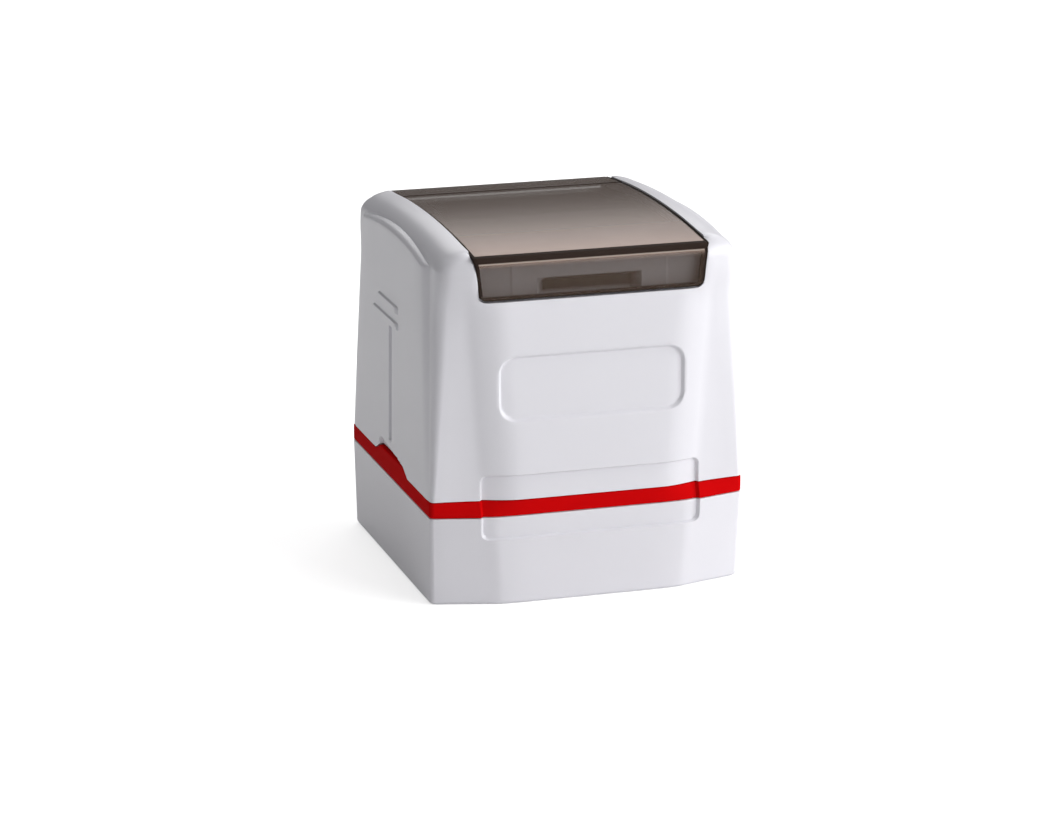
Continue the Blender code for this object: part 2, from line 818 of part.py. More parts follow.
def make_screw(name, x, y, made):
    top = deck_top - gap
    seat = top - screw_head_height
    screw = as_object(name, rod(0.0, 0.0, seat - top, 0.0, screw_head_radius, 16), made)
    screw.location = (x, y, top)
    tip = -screw_head_height - screw_length
    shank = as_object("shank", rod(0.0, 0.0, tip, -screw_head_height / 2, screw_shank_radius, 12))
    shank.parent = screw
    boolean(screw, shank, "UNION")
    reach = screw_head_radius - cross_width
    arm = cross_width / 2
    for half_x, half_y in ((reach, arm), (arm, reach)):
        slot = box((-half_x, -half_y, -cross_depth), (half_x, half_y, overrun))
        tool = as_object("cross_slot", slot)
        tool.parent = screw
        boolean(screw, tool, "DIFFERENCE")
    return screw


def make_plug(name, x, made):
    top = deck_top - gap
    plug = as_object(name, rod(0.0, 0.0, -plug_head_height, 0.0, plug_head_radius, 20), made)
    plug.location = (x, 0.0, top)
    stem = as_object("stem", rod(0.0, 0.0, -plug_head_height - plug_stem_length, -plug_head_height / 2,
                                 plug_stem_radius, 12))
    stem.parent = plug
    boolean(plug, stem, "UNION")
    return plug


# Springs

def spring_path():
    """A helix whose two ends turn upright for one wire diameter, from the shelf to the boss."""
    low = sleeve_top + gap
    high = boss_bottom - gap
    end = 2 * spring_wire
    bottom, top = low + 2 * end, high - 2 * end
    count = max(1, round((top - bottom) / spring_pitch)) * spring_points
    points = [(spring_radius, 0.0, low), (spring_radius, 0.0, low + end)]
    for k in range(count + 1):
        turn = 2 * math.pi * k / spring_points
        z = bottom + (top - bottom) * k / count
        points.append((spring_radius * math.cos(turn), spring_radius * math.sin(turn), z))
    points += [(spring_radius, 0.0, high - end), (spring_radius, 0.0, high)]
    return points


def least_gap(points):
    """The least free space between two turns of the wire, measured point to point."""
    apart = spring_points // 2
    nearest = min((Vector(a) - Vector(b)).length for i, a in enumerate(points) for b in points[i + apart:])
    return nearest - 2 * spring_wire


def make_spring(name, x, y, points, made):
    curve = bpy.data.curves.new(name, "CURVE")
    curve.dimensions = "3D"
    curve.bevel_depth = spring_wire
    curve.bevel_resolution = 1
    curve.use_fill_caps = True
    spline = curve.splines.new("POLY")
    spline.points.add(len(points) - 1)
    for point, place in zip(spline.points, points):
        point.co = (*place, 1.0)
    curve.materials.append(made)
    spring = bpy.data.objects.new(name, curve)
    spring.location = (x, y, 0.0)
    collection_parts.objects.link(spring)
    return spring


def main():
    clear_scene()
    white = material("white_plastic", (0.80, 0.80, 0.82), 0.35)
    red = material("red_plastic", (0.58, 0.008, 0.008), 0.35)
    smoke = material("smoked_plastic", (0.16, 0.11, 0.08), 0.12, alpha=0.6)
    grey = material("grey_plastic", (0.30, 0.30, 0.32), 0.45)
    paper = material("card_paper", (0.80, 0.79, 0.76), 0.80)
    foam = material("ink_foam", (0.30, 0.01, 0.01), 0.95)
    rubber = material("die_foam", (0.45, 0.03, 0.03), 0.85)
    steel = material("spring_steel", (0.60, 0.60, 0.62), 0.30, metallic=1.0)
    stopper = material("plug_rubber", (0.05, 0.05, 0.05), 0.70)

    cap = make_cap(white)
    ring = make_ring(red)
    shell = make_shell(white)
    for band in recess_cutters():
        for piece in (cap, ring, shell):
            boolean(piece, band, "DIFFERENCE")
    pieces = [cap, ring, shell, make_cover(smoke), make_card(paper), make_sleeve(white), make_die(rubber),
              make_frame(grey), make_pad(foam), make_carrier(grey)]
    for x, y, place in corners(screw_plan):
        pieces.append(make_screw("carrier_screw_" + place, x, y, steel))
    for side, sign in (("left", -1), ("right", 1)):
        pieces.append(make_plug("ink_plug_" + side, sign * tube_spread, stopper))
    for piece in pieces:
        smooth(piece)
    points = spring_path()
    print("least gap between spring turns, mm:", round(least_gap(points) * 1000, 2))
    for x, y, place in corners(post_plan):
        make_spring("spring_" + place, x, y, points, steel)


main()
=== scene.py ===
import math

import bpy
import numpy as np
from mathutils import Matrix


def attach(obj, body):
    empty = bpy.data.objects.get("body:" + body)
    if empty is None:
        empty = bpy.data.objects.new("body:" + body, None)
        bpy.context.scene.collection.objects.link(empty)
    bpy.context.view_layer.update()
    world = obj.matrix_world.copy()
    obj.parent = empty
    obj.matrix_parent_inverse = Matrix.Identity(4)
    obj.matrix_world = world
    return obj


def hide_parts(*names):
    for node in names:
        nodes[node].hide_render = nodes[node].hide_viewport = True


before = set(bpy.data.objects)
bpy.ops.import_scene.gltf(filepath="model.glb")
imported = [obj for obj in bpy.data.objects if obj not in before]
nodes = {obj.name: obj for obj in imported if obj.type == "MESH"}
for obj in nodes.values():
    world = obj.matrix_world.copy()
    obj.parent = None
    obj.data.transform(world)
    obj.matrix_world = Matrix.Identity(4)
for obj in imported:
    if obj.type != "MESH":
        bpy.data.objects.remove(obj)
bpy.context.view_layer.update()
scene = bpy.context.scene
mm = 0.001

# The whole body, in millimetres: z from the floor, front at -Y, and half sizes from the middle
body = dict(
    halfWidth=25.0, halfDepth=25.85, height=55.9, ringTop=16.47, capHeight=14.0,
    capSideDraft=0.13, capFrontDraft=0.65, sideLean=0.034, frontLean=0.026, padRelief=0.12,
    cornerLevels=[0, 16.5, 30, 52], cornerRounds=[1.1, 0.8, 1.5, 3.0],
    facetDrop=2.75, facetRun=9.2, breakLow=14.45, breakHigh=18.79, breakBlend=0.8, breakDrift=0.123,
    capStep=0.35, shellStep=1.75, stepStart=14.0, stepGrow=2.5, stepEnd=50.5, stepFade=5.5,
    crownRise=3.0, crownSide=4.65, crownFront=2.6, archRise=1.5,
    openingFoot=21.0, openingLow=47.7, openingLedge=53.2, openingBand=1.1, openingHalfFoot=17.41,
    openingHalfLow=17.7, openingHalfLedge=18.3, openingHalfTop=18.6, openingCorner=1.1, openingGap=0.15,
)


# Small formulas that several pieces share

def smoothStep(t):
    t = np.clip(t, 0, 1)
    return t * t * (3 - 2 * t)


def above(z):
    return np.clip(z - body["ringTop"], 0, None)


def below(z):
    return np.clip(body["capHeight"] - z, 0, None) / body["capHeight"]


def breakAt(z):   # half width of the middle panel, between the two facets
    return body["breakLow"] + (body["breakHigh"] - body["breakLow"]) * z / body["height"]


def sideAt(z):
    skin = body["padRelief"] * (z > body["ringTop"] + 0.05)
    return body["halfWidth"] - skin - body["sideLean"] * above(z) - body["capSideDraft"] * below(z)


def frontAt(z):
    return body["halfDepth"] - body["frontLean"] * above(z) - body["capFrontDraft"] * below(z)


def padAt(z):
    return body["halfWidth"] - padPanel["lean"] * above(z)


def openingEdge(z, grow=0.0):   # half width of the window's opening, seen from the front
    names = ("Foot", "Low", "Ledge")
    levels = [body["opening" + name] for name in names] + [body["openingLedge"] + body["openingBand"]]
    halves = [body["openingHalf" + name] for name in names + ("Top",)]
    halves[0] -= grow
    return grow + np.interp(z, levels, halves)


def archDrop(y):
    return body["archRise"] * (y / body["halfDepth"]) ** 2


def bend(t, half):   # 0 before a fold, t after it, and a parabola across it
    return np.where(t < -half, 0, np.where(t > half, t, (t + half) ** 2 / (4 * half)))


def bendTurn(t, half):   # how far the fold has turned, from 0 to 1
    return np.clip((t + half) / (2 * half), 0, 1)


def sunk(d, form):
    # depth of a sunk field at distance d from its edge, inside negative: one smooth S from its rim to its foot
    return form["depth"] * smoothStep((form["rim"] - d) / (form["rim"] + form["foot"]))


# The step from the middle panel down to the facet: how steep it is at each distance from the fold
stepShape = dict(places=[-5.0, -1.3, 0.7, 2.2, 7.0], speeds=[0.0, 1.0, 1.0, 0.3, 0.0])
stepRun = np.linspace(stepShape["places"][0], stepShape["places"][-1], 121)
stepSpeed = np.interp(stepRun, stepShape["places"], stepShape["speeds"])
stepFallen = np.concatenate([[0], np.cumsum(stepSpeed[1:] + stepSpeed[:-1]) * 0.05])   # half the spacing
stepSpeed = stepSpeed / stepFallen[-1]
stepFallen = stepFallen / stepFallen[-1]


def panelStep(t):   # share of the step that has fallen at a distance from the fold, and how fast it falls there
    return np.interp(t, stepRun, stepFallen), np.interp(t, stepRun, stepSpeed)


def stepAt(z):   # height of that step: little on the cap, more on the handle, and none beside the window
    share = np.clip((z - body["stepStart"]) / body["stepGrow"], 0, 1)
    low = body["capStep"] + (body["shellStep"] - body["capStep"]) * share
    return low * smoothStep((body["stepEnd"] - z) / body["stepFade"])


def roundedField(a, b, halfA, halfB, corner):   # distance to a rounded rectangle, negative inside
    qa, qb = np.abs(a) - halfA + corner, np.abs(b) - halfB + corner
    return np.hypot(np.clip(qa, 0, None), np.clip(qb, 0, None)) + np.minimum(np.maximum(qa, qb), 0) - corner


def sunkBetween(a, z, form):   # depth of a sunk rounded rectangle, at a distance across and a height
    middle, half = (form["low"] + form["high"]) / 2, (form["high"] - form["low"]) / 2
    return sunk(roundedField(a, z - middle, form["half"], half, form["corner"]), form)


# Meshes from grids

def intoScene(name, data):
    thing = bpy.data.objects.new(name, data)
    scene.collection.objects.link(thing)
    return thing


def addPiece(name, points, faces, material, rides, slot, stands):
    mesh = bpy.data.meshes.new(name)
    mesh.from_pydata((np.asarray(points) * mm).tolist(), [], faces)
    mesh.validate()
    mesh.materials.append(material)
    piece = intoScene(name, mesh)
    mesh.shade_smooth()
    mesh.set_sharp_from_angle(angle=math.radians(32))
    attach(piece, rides)
    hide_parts(*stands)
    print("piece", name, len(mesh.polygons), "faces")
    return piece


def together(*shells):   # several closed shells as one mesh
    points, faces, start = [], [], 0
    for shellPoints, shellFaces in shells:
        points.append(shellPoints)
        faces += [[corner + start for corner in face] for face in shellFaces]
        start += len(shellPoints)
    return np.concatenate(points), faces


def roundLoop(x, y, z, radius, sides=48):   # a level circle
    turn = np.linspace(0, 2 * math.pi, sides, endpoint=False)
    return np.stack([x + radius * np.cos(turn), y + radius * np.sin(turn), np.full(sides, z)], axis=1)


def crossLoop(x, y, z, radius):   # a circle around a line along X
    return roundLoop(y, z, x, radius)[:, [2, 0, 1]]


def slabLoop(halfX, halfY, z, corner, steps=10):   # a level rectangle with rounded corners
    turn = np.linspace(0, math.pi / 2, steps + 1)
    sides = []
    for k, (signX, signY) in enumerate(((1, 1), (-1, 1), (-1, -1), (1, -1))):
        x = signX * (halfX - corner) + corner * np.cos(turn + k * math.pi / 2)
        y = signY * (halfY - corner) + corner * np.sin(turn + k * math.pi / 2)
        sides.append(np.stack([x, y, np.full(steps + 1, z)], axis=1))
    return np.concatenate(sides)


def boxShell(low, high):
    x0, y0, x1, y1 = *low[:2], *high[:2]
    return stack([np.array([[x0, y0, z], [x1, y0, z], [x1, y1, z], [x0, y1, z]]) for z in (low[2], high[2])])


def quarterTurn(points, turns):
    for _ in range(turns):
        points = points[:, [1, 0, 2]] * [-1, 1, 1]
    return points


def facesOf(*corners):   # one face for each place in the lists of its corners
    return np.stack(corners, axis=-1).reshape(-1, len(corners)).tolist()


def gridFaces(rows, columns, start=0, skip=None):
    # quads of a grid whose points are numbered row by row, and whose last column joins the first
    r, c = np.meshgrid(np.arange(rows - 1), np.arange(columns), indexing="ij")
    if skip is not None:
        keep = ~skip(r, c)
        r, c = r[keep], c[keep]
    low, d = start + r * columns, (c + 1) % columns
    return facesOf(low + c, low + d, low + columns + d, low + columns + c)


def stack(loops, closed=False):
    # closed loops of equal length joined one above the other: the last meets the first, or a fan closes each end
    points = np.concatenate(loops)
    count = len(loops[0])
    last = (len(loops) - 1) * count
    faces = gridFaces(len(loops), count)
    i = np.arange(count)
    j = (i + 1) % count
    if closed:
        return points, faces + facesOf(last + i, last + j, j, i)
    low = np.full(count, len(points))
    faces += facesOf(j, i, low) + facesOf(last + i, last + j, low + 1)
    return np.concatenate([points, [loops[0].mean(axis=0), loops[-1].mean(axis=0)]]), faces


# Lines that run up the body's skin. They follow the edges of every recess, so all the skins share them.

sunkRecess = dict(half=17.4, low=10.6, high=20.5, depth=0.6, corner=1.1, rim=0.12, foot=0.14)
pocket = dict(half=14.6, low=29.0, high=38.84, depth=0.6, corner=2.6, rim=0.2, foot=0.34)
padPanel = dict(lean=0.012, frontGapLow=0.55, frontGapHigh=4.0, cornerHeight=52.1, archRise=2.0)
slotLine = dict(half=0.75, low=19.9, high=38.4, depth=0.9, corner=0.05, rim=0.1, foot=0.2)
marks = [dict(z=39.2, start=-4.4, end=9.9), dict(z=41.8, start=-4.4, end=6.9)]
markForm = dict(height=1.2, depth=0.3, corner=0.5, rim=0.12, foot=0.1)
scoop = dict(half=6.7, middle=-0.3, base=14.0, top=18.55, tilt=0.11, depth=0.6, corner=1.5, rim=0.15, foot=0.25)
tab = dict(baseHalf=9.3, topHalf=6.6, rise=1.2, back=0.65)


def spread(low, high, step):
    return np.linspace(low, high, max(2, int(round((high - low) / step)) + 1))


def sortedLines(parts):   # each place once, and none right beside the one before
    lines = np.unique(np.round(np.concatenate(parts), 3))
    return lines[np.concatenate([[True], np.diff(lines) > 0.015])]


near = np.array([-0.34, -0.22, -0.12, -0.04, 0.03, 0.1, 0.2])   # lines beside an edge, from inside to outside
frontLines = sortedLines([
    spread(0, 11, 1.4), spread(12, 14.4, 0.2), pocket["half"] + near,
    spread(15.2, 16.2, 0.5), spread(16.4, 17.2, 0.2), sunkRecess["half"] + near[:4]])
sideEdges = [-9.95, -7.4, -7.25, -4.4, -0.75, 0.75, 4.99, 5.95, 6.9, 8.65, 9.9]   # Y of tab, marks and slot line
sideLines = sortedLines([spread(-12.5, 12.5, 1.3)] + [edge + near[[0, 2, 3, 5]] for edge in sideEdges])
cornerTurns = np.linspace(0, 1, 9)
facetSteps = np.array([0.07, 0.15, 0.27, 0.5, 0.75, 1.05, 1.4])
facetShares = np.array([0.15, 0.4, 0.7])
padShares = np.array([0.35, 0.7, 0.9])
padLead = np.array([0.05, 0.13, 0.32])   # lines on the side panel, close together beside its edge
# How the lines share the room between two edges: past the pivot, the front lines follow the window's edge
lineForm = dict(pivot=14.85, edgeRoom=0.25, roundShare=0.9, facetShare=0.3, padRoom=0.05, padBlend=0.3)


def skinLines(z, insetFront=0.0, insetSide=0.0):
    # the right half of the plan outline at every level, with its normals. z has a row for each level and a column
    # for each line: front lines, facet, front corner, side, and the same backwards. The middle panel is straight,
    # each facet falls by a step at the fold and then slopes back, and a circle rounds the corner to the side.
    z = np.asarray(z, float)
    inFront, inSide = np.broadcast_to(insetFront, z.shape), np.broadcast_to(insetSide, z.shape)
    pivot = lineForm["pivot"]
    n1 = len(frontLines)
    n2 = n1 + len(facetSteps)
    n3 = n2 + len(facetShares)
    out = []
    for turn in (1, -1):
        zq, inF, inS = (grid[:, ::turn][:, :frontCount] for grid in (z, inFront, inSide))
        depth, wide = frontAt(zq) - inF, sideAt(zq) - inS
        fold, step = breakAt(zq) - inF * body["breakDrift"], stepAt(zq)
        slope = (body["facetDrop"] - step) / body["facetRun"]
        length = np.hypot(1, slope)
        edge = np.minimum(openingEdge(zq, body["openingGap"]), wide - lineForm["edgeRoom"])
        # the circle at the corner touches the facet and the side
        radius = np.interp(zq, body["cornerLevels"], body["cornerRounds"])
        radius = np.minimum(radius, np.clip(wide - edge, 0.05, None) * lineForm["roundShare"])
        nx, ny = slope / length, -1 / length
        cornerY = -(depth - slope * (wide - fold) - step)
        k = radius / (1 + nx)
        cx, cy = wide - k * (nx + 1), cornerY - k * ny
        startX = cx + radius * nx
        # places across: the front lines, close steps beside the window's edge, shares of the facet, the circle
        x = np.empty_like(zq)
        stretch = (edge[:, :n1] - pivot) / (frontLines[-1] - pivot)
        x[:, :n1] = np.where(frontLines > pivot, pivot + (frontLines - pivot) * stretch, frontLines)
        span = (startX - edge)[:, n1:n2] * facetSteps / facetSteps[-1] * lineForm["facetShare"]
        x[:, n1:n2] = edge[:, n1:n2] + np.minimum(facetSteps, span)
        x[:, n2:n3] = x[:, n2 - 1:n2] + (startX[:, n2:n3] - x[:, n2 - 1:n2]) * facetShares
        angle = np.arctan2(ny, nx)[:, n3:] * (1 - cornerTurns)
        x[:, n3:] = cx[:, n3:] + radius[:, n3:] * np.cos(angle)
        fallen, speed = panelStep(x - fold)
        y = -(depth - slope * bend(x - fold, body["breakBlend"]) - step * fallen)
        y[:, n3:] = cy[:, n3:] + radius[:, n3:] * np.sin(angle)
        normalX = slope * bendTurn(x - fold, body["breakBlend"]) + step * speed
        normalY = -np.ones_like(zq)
        normalX[:, n3:], normalY[:, n3:] = np.cos(angle), np.sin(angle)
        size = np.hypot(normalX, normalY)
        out.append((x, y, normalX / size, normalY / size, cy[:, -1:]))
    # the side runs from one corner's end to the other's, with close lines beside the raised panel's edges
    zs = z[:, frontCount:-frontCount]
    wide = sideAt(zs) - inSide[:, frontCount:-frontCount]
    front, rear = out[0][4], -out[1][4]
    padY = padEdge(zs)
    half = np.zeros_like(zs)
    n, m = len(padShares), len(padShares) + len(near)
    k = m + len(padLead)
    edgeY = np.maximum(-padY[:, :1], front + lineForm["padRoom"])
    half[:, :n] = front + (edgeY - front) * padShares
    r = np.minimum(1, (edgeY - front) / lineForm["padBlend"])
    half[:, n:m] = edgeY - near[::-1] * np.where(near[::-1] > 0, r * 0.5, 1)
    rearY = np.minimum(padY[:, -1:], rear - lineForm["padRoom"])
    r = np.minimum(1, (rear - rearY) / lineForm["padBlend"])
    half[:, -m:-n] = rearY + near * np.where(near > 0, r * 0.5, 1)
    half[:, -n:] = rear - (rear - rearY) * padShares[::-1]
    half[:, k:-k] = sideLines
    half[:, m:k] = half[:, m - 1:m] + (sideLines[0] - half[:, m - 1:m]) * padLead
    half[:, -k:-m] = half[:, -m:-m + 1] - (half[:, -m:-m + 1] - sideLines[-1]) * padLead[::-1]
    side = (wide, half, np.ones_like(zs), np.zeros_like(zs))
    flip = [grid[:, ::-1] * sign for grid, sign in zip(out[1], (1, -1, 1, -1))]
    return [np.concatenate([out[0][i], side[i], flip[i]], axis=1) for i in range(4)]


def padEdge(z):   # how far from the middle the raised side panel reaches, at a level
    up = np.clip((z - body["ringTop"]) / (padPanel["cornerHeight"] - body["ringTop"]), 0, 1.1)
    cornerY = body["halfDepth"] - body["facetDrop"]
    return cornerY - padPanel["frontGapLow"] - (padPanel["frontGapHigh"] - padPanel["frontGapLow"]) * up


frontCount = len(frontLines) + len(facetSteps) + len(facetShares) + len(cornerTurns)
sideCount = 2 * (len(padShares) + len(near) + len(padLead)) + len(sideLines)
lineCount = 2 * frontCount + sideCount
onSide = np.repeat([False, True, False], [frontCount, sideCount, frontCount])
print("skin lines per half:", lineCount)


def bothHalves(x, y, z):
    # mirrors the right half to the left, so that each row is a closed loop, counterclockwise from above
    right = np.stack([x, y, z], axis=-1)
    left = right[:, -2:0:-1] * [-1, 1, 1]
    return np.concatenate([right, left], axis=1)


def sinkFront(x, y, nx, ny, z):
    # the low recess, front and rear: a field with rounded upper corners, sunk square to the skin
    deep = sunkBetween(x, z, sunkRecess)
    return x - nx * deep, y - ny * deep


def levelLoop(z, inset=0.0, sink=True, push=0.0):   # one loop of the skin, at a level or a height for each line
    z = np.broadcast_to(z, (1, lineCount)) + 0.0
    x, y, nx, ny = skinLines(z, inset, inset)
    if sink:
        x, y = sinkFront(x, y, nx, ny, z)
    return bothHalves(x + push, y, z)[0]


print("formulas ready")

# Shader writing: one wrapper for sockets, one method for any other node

class Wire:
    def __init__(self, tree, socket):
        self.tree, self.socket = tree, socket

    def math(self, operation, *values):
        node = self.tree.nodes.new("ShaderNodeMath")
        node.operation = operation
        for place, value in enumerate(values):
            self.join(node.inputs[place], value)
        return Wire(self.tree, node.outputs[0])

    def join(self, place, value):
        if isinstance(value, Wire):
            self.tree.links.new(value.socket, place)
        else:
            place.default_value = value

    def __add__(self, other):
        return self.math("ADD", self, other)

    def __radd__(self, other):
        return self.math("ADD", other, self)

    def __sub__(self, other):
        return self.math("SUBTRACT", self, other)

    def __rsub__(self, other):
        return self.math("SUBTRACT", other, self)

    def __mul__(self, other):
        return self.math("MULTIPLY", self, other)

    def __rmul__(self, other):
        return self.math("MULTIPLY", other, self)

    def __truediv__(self, other):
        return self.math("DIVIDE", self, other)

    def __rtruediv__(self, other):
        return self.math("DIVIDE", other, self)

    def clamp(self):   # kept between 0 and 1
        return self.math("MINIMUM", self.math("MAXIMUM", self, 0.0), 1.0)

    def node(self, kind, settings=None, out=0, **sockets):
        made = self.tree.nodes.new(kind)
        for key, value in (settings or {}).items():
            setattr(made, key, value)
        for key, value in sockets.items():   # i6 is input number 6, and any other key is an input's name
            numbered = key[0] == "i" and key[1:].isdigit()
            self.join(made.inputs[int(key[1:]) if numbered else key], value)
        return Wire(self.tree, made.outputs[out])

    def noise(self, place, scale, detail, roughness=0.5):
        return self.node("ShaderNodeTexNoise", Vector=place, Scale=scale, Detail=detail, Roughness=roughness)

    def spot(self, name):   # a value that the mesh carries on its points
        return self.node("ShaderNodeAttribute", dict(attribute_name=name), 2)

    def blend(self, low, high, share):   # from one colour to another by a share
        low, high = (end if isinstance(end, Wire) else (*end, 1) for end in (low, high))
        return self.node("ShaderNodeMix", dict(data_type="RGBA"), 2, i0=share, i6=low, i7=high)

    def mix(self, other, share):   # this colour towards another by a share
        return self.blend(self, other, share)


def newMaterial(name):
    made = bpy.data.materials.new(name)
    made.use_nodes = True
    start = Wire(made.node_tree, None)
    inputs = made.node_tree.nodes["Principled BSDF"].inputs
    return made, inputs, start, start.node("ShaderNodeTexCoord", out=3)


def dress(start, inputs, colour, roughness, bump=None):   # bump is its height, strength and depth
    start.join(inputs["Base Color"], colour)
    start.join(inputs["Roughness"], roughness)
    if bump:
        height, strength, depth = bump
        start.join(inputs["Normal"], start.node("ShaderNodeBump", Strength=strength, Distance=depth, Height=height))


def mouldedPlastic(name, look):
    # a very fine spark-eroded grain, faint cloudiness in colour, and gloss that varies a little
    made, inputs, start, place = newMaterial(name)
    grain = start.noise(place, look["grainScale"], 3.0, 0.6)
    cloud = start.noise(place, look["cloudScale"], 2.0)
    smear = start.noise(place, look["cloudScale"] * 4, 4.0, 0.6)
    colour = start.blend(look["colour"], look["shade"], cloud * look["cloudShare"])
    if "notchShade" in look:   # painted shade: the notch behind the window is darkened in its colour
        colour = colour.mix(look["notchShade"], start.spot("notchShadePaint"))
    dress(start, inputs, colour, look["gloss"] + smear * look["glossSpread"], (grain, look["grainStrength"], 0.00005))
    inputs["Specular IOR Level"].default_value = look.get("shine", 0.5)
    return made


whiteLook = dict(colour=(0.80, 0.792, 0.838), shade=(0.785, 0.778, 0.825), cloudShare=0.5, cloudScale=60.0,
                 gloss=0.27, glossSpread=0.10, grainScale=9000.0, grainStrength=0.12)
redLook = dict(colour=(0.63, 0.003, 0.004), shade=(0.59, 0.003, 0.004), cloudShare=0.6, cloudScale=80.0, shine=0.001,
               gloss=0.32, glossSpread=0.12, grainScale=9000.0, grainStrength=0.10)
greyLook = dict(colour=(0.27, 0.27, 0.28), shade=(0.22, 0.22, 0.23), cloudShare=0.6, cloudScale=90.0,
                gloss=0.40, glossSpread=0.15, grainScale=7000.0, grainStrength=0.25)
plugLook = dict(colour=(0.035, 0.035, 0.037), shade=(0.05, 0.05, 0.05), cloudShare=0.7, cloudScale=200.0,
                gloss=0.62, glossSpread=0.2, grainScale=6000.0, grainStrength=0.4)
white = mouldedPlastic("whitePlastic", whiteLook)
# the shell's white, with a painted shade for the notch behind the window
shellWhite = mouldedPlastic("shellPlastic", dict(whiteLook, notchShade=(0.03, 0.025, 0.02)))
red = mouldedPlastic("redPlastic", redLook)
grey = mouldedPlastic("greyPlastic", greyLook)
plug = mouldedPlastic("plugRubber", plugLook)


# dense is how far the plastic hides what is behind it: 0 is clear and 1 is closed
# the light front colour is a painted reflection, edge is painted shade and ledge is a painted highlight
smokedLook = dict(
    skirt=(0.090, 0.050, 0.028), rear=(0.075, 0.034, 0.015), front=(0.66, 0.47, 0.39), shade=0.8,
    edge=(0.020, 0.008, 0.003), ledge=(0.52, 0.45, 0.39), gloss=0.24, edgeGloss=0.9, denseEdge=0.97,
    denseSkirt=0.38, denseRear=0.84, denseFront=0.66, rearEnd=0.012, frontEnd=-0.023, frontCurve=0.12,
    topStart=0.0525, topBlend=0.001, cloudScale=70.0, cloudShare=0.3, cloudGloss=0.05, cloudDense=0.02)


def smokedPlastic(look):
    # smoked clear plastic, seen through in part and denser at its rear; painted shade darkens its edges and makes them
    # nearly closed, a painted highlight lightens the ledge, and a painted reflection lightens its top towards the
    # front
    made, inputs, start, place = newMaterial("smokedPlastic")
    cloud = start.noise(place, look["cloudScale"], 3.0, 0.6)
    # marks of painted shade and painted highlight that the mesh carries
    edge, ledge = start.spot("edgeShadePaint"), start.spot("ledgeHighlightPaint")
    along = start.node("ShaderNodeSeparateXYZ", None, 1, Vector=place)
    up = start.node("ShaderNodeSeparateXYZ", None, 2, Vector=place)
    front = ((look["rearEnd"] - along) / (look["rearEnd"] - look["frontEnd"])).clamp()
    front = front * front * (front + look["frontCurve"]) / (1 + look["frontCurve"])
    onTop = ((up - look["topStart"]) / look["topBlend"]).clamp()
    # painted reflection: the top turns from the dark rear colour to the light front colour
    colour = start.blend(look["skirt"], start.blend(look["rear"], look["front"], front), onTop)
    colour = colour.mix([part * look["shade"] for part in look["skirt"]], cloud * look["cloudShare"])
    # painted shade on the edges and a painted highlight on the ledge
    colour = colour.mix(look["edge"], edge).mix(look["ledge"], ledge)
    roughness = look["gloss"] + cloud * look["cloudGloss"] + edge * (look["edgeGloss"] - look["gloss"])
    dress(start, inputs, colour, roughness)
    onArch = look["denseRear"] - front * (look["denseRear"] - look["denseFront"])
    dense = look["denseSkirt"] + (onArch - look["denseSkirt"]) * onTop + cloud * look["cloudDense"]
    start.join(inputs["Alpha"], dense + (edge + ledge) * (look["denseEdge"] - dense))
    inputs["IOR"].default_value = 1.49
    return made


paperLook = dict(colour=(0.80, 0.79, 0.75), shade=(0.72, 0.71, 0.67), fibre=1500.0, gloss=0.75, glossSpread=0.15)
inkLook = dict(colour=(0.30, 0.010, 0.012), shade=(0.10, 0.004, 0.006), cell=1500.0)
dieLook = dict(colour=(0.42, 0.020, 0.022), shade=(0.24, 0.010, 0.012), cell=3500.0)
steelLook = dict(colour=(0.56, 0.56, 0.57), shade=(0.66, 0.66, 0.66), scratch=3000.0, gloss=0.22, glossSpread=0.18)


def paperCard(name, look):
    made, inputs, start, place = newMaterial(name)
    fibre = start.noise(place, look["fibre"], 6.0, 0.7)
    dress(start, inputs, start.blend(look["colour"], look["shade"], fibre),
          look["gloss"] + fibre * look["glossSpread"], (fibre, 0.3, 0.00003))
    return made


def openFoam(name, look):
    made, inputs, start, place = newMaterial(name)
    cells = start.node("ShaderNodeTexVoronoi", Vector=place, Scale=look["cell"])
    fine = start.noise(place, look["cell"] * 2, 4.0)
    dress(start, inputs, start.blend(look["shade"], look["colour"], cells * 1.3), 0.75 + fine * 0.2,
          (cells + fine * 0.4, 0.6, 0.0001))
    return made


def drawnSteel(name, look):
    made, inputs, start, place = newMaterial(name)
    scratch = start.noise(place, look["scratch"], 4.0)
    inputs["Metallic"].default_value = 1.0
    dress(start, inputs, start.blend(look["colour"], look["shade"], scratch),
          look["gloss"] + scratch * look["glossSpread"])
    return made


smoked = smokedPlastic(smokedLook)
card = paperCard("cardPaper", paperLook)
inkFoam = openFoam("inkFoam", inkLook)
dieFoam = openFoam("dieFoam", dieLook)
steel = drawnSteel("springSteel", steelLook)
print("materials ready")

finishes = {
    "dust_cap": white, "handle_shell": white, "colour_ring": red, "window_cover": smoked, "index_card": card,
    "sleeve": white, "stamp_die": dieFoam, "die_frame": grey, "die_carrier": grey, "ink_pad": inkFoam,
}
for name, node in nodes.items():
    finish = finishes.get(name)
    if finish is None:
        finish = plug if name.startswith("ink_plug") else steel
    node.data.materials.clear()
    node.data.materials.append(finish)
    node.data.shade_smooth()
    node.data.set_sharp_from_angle(angle=math.radians(30))

# Handle shell: one skin of lines and levels, an opening for the window, and the hollow underneath

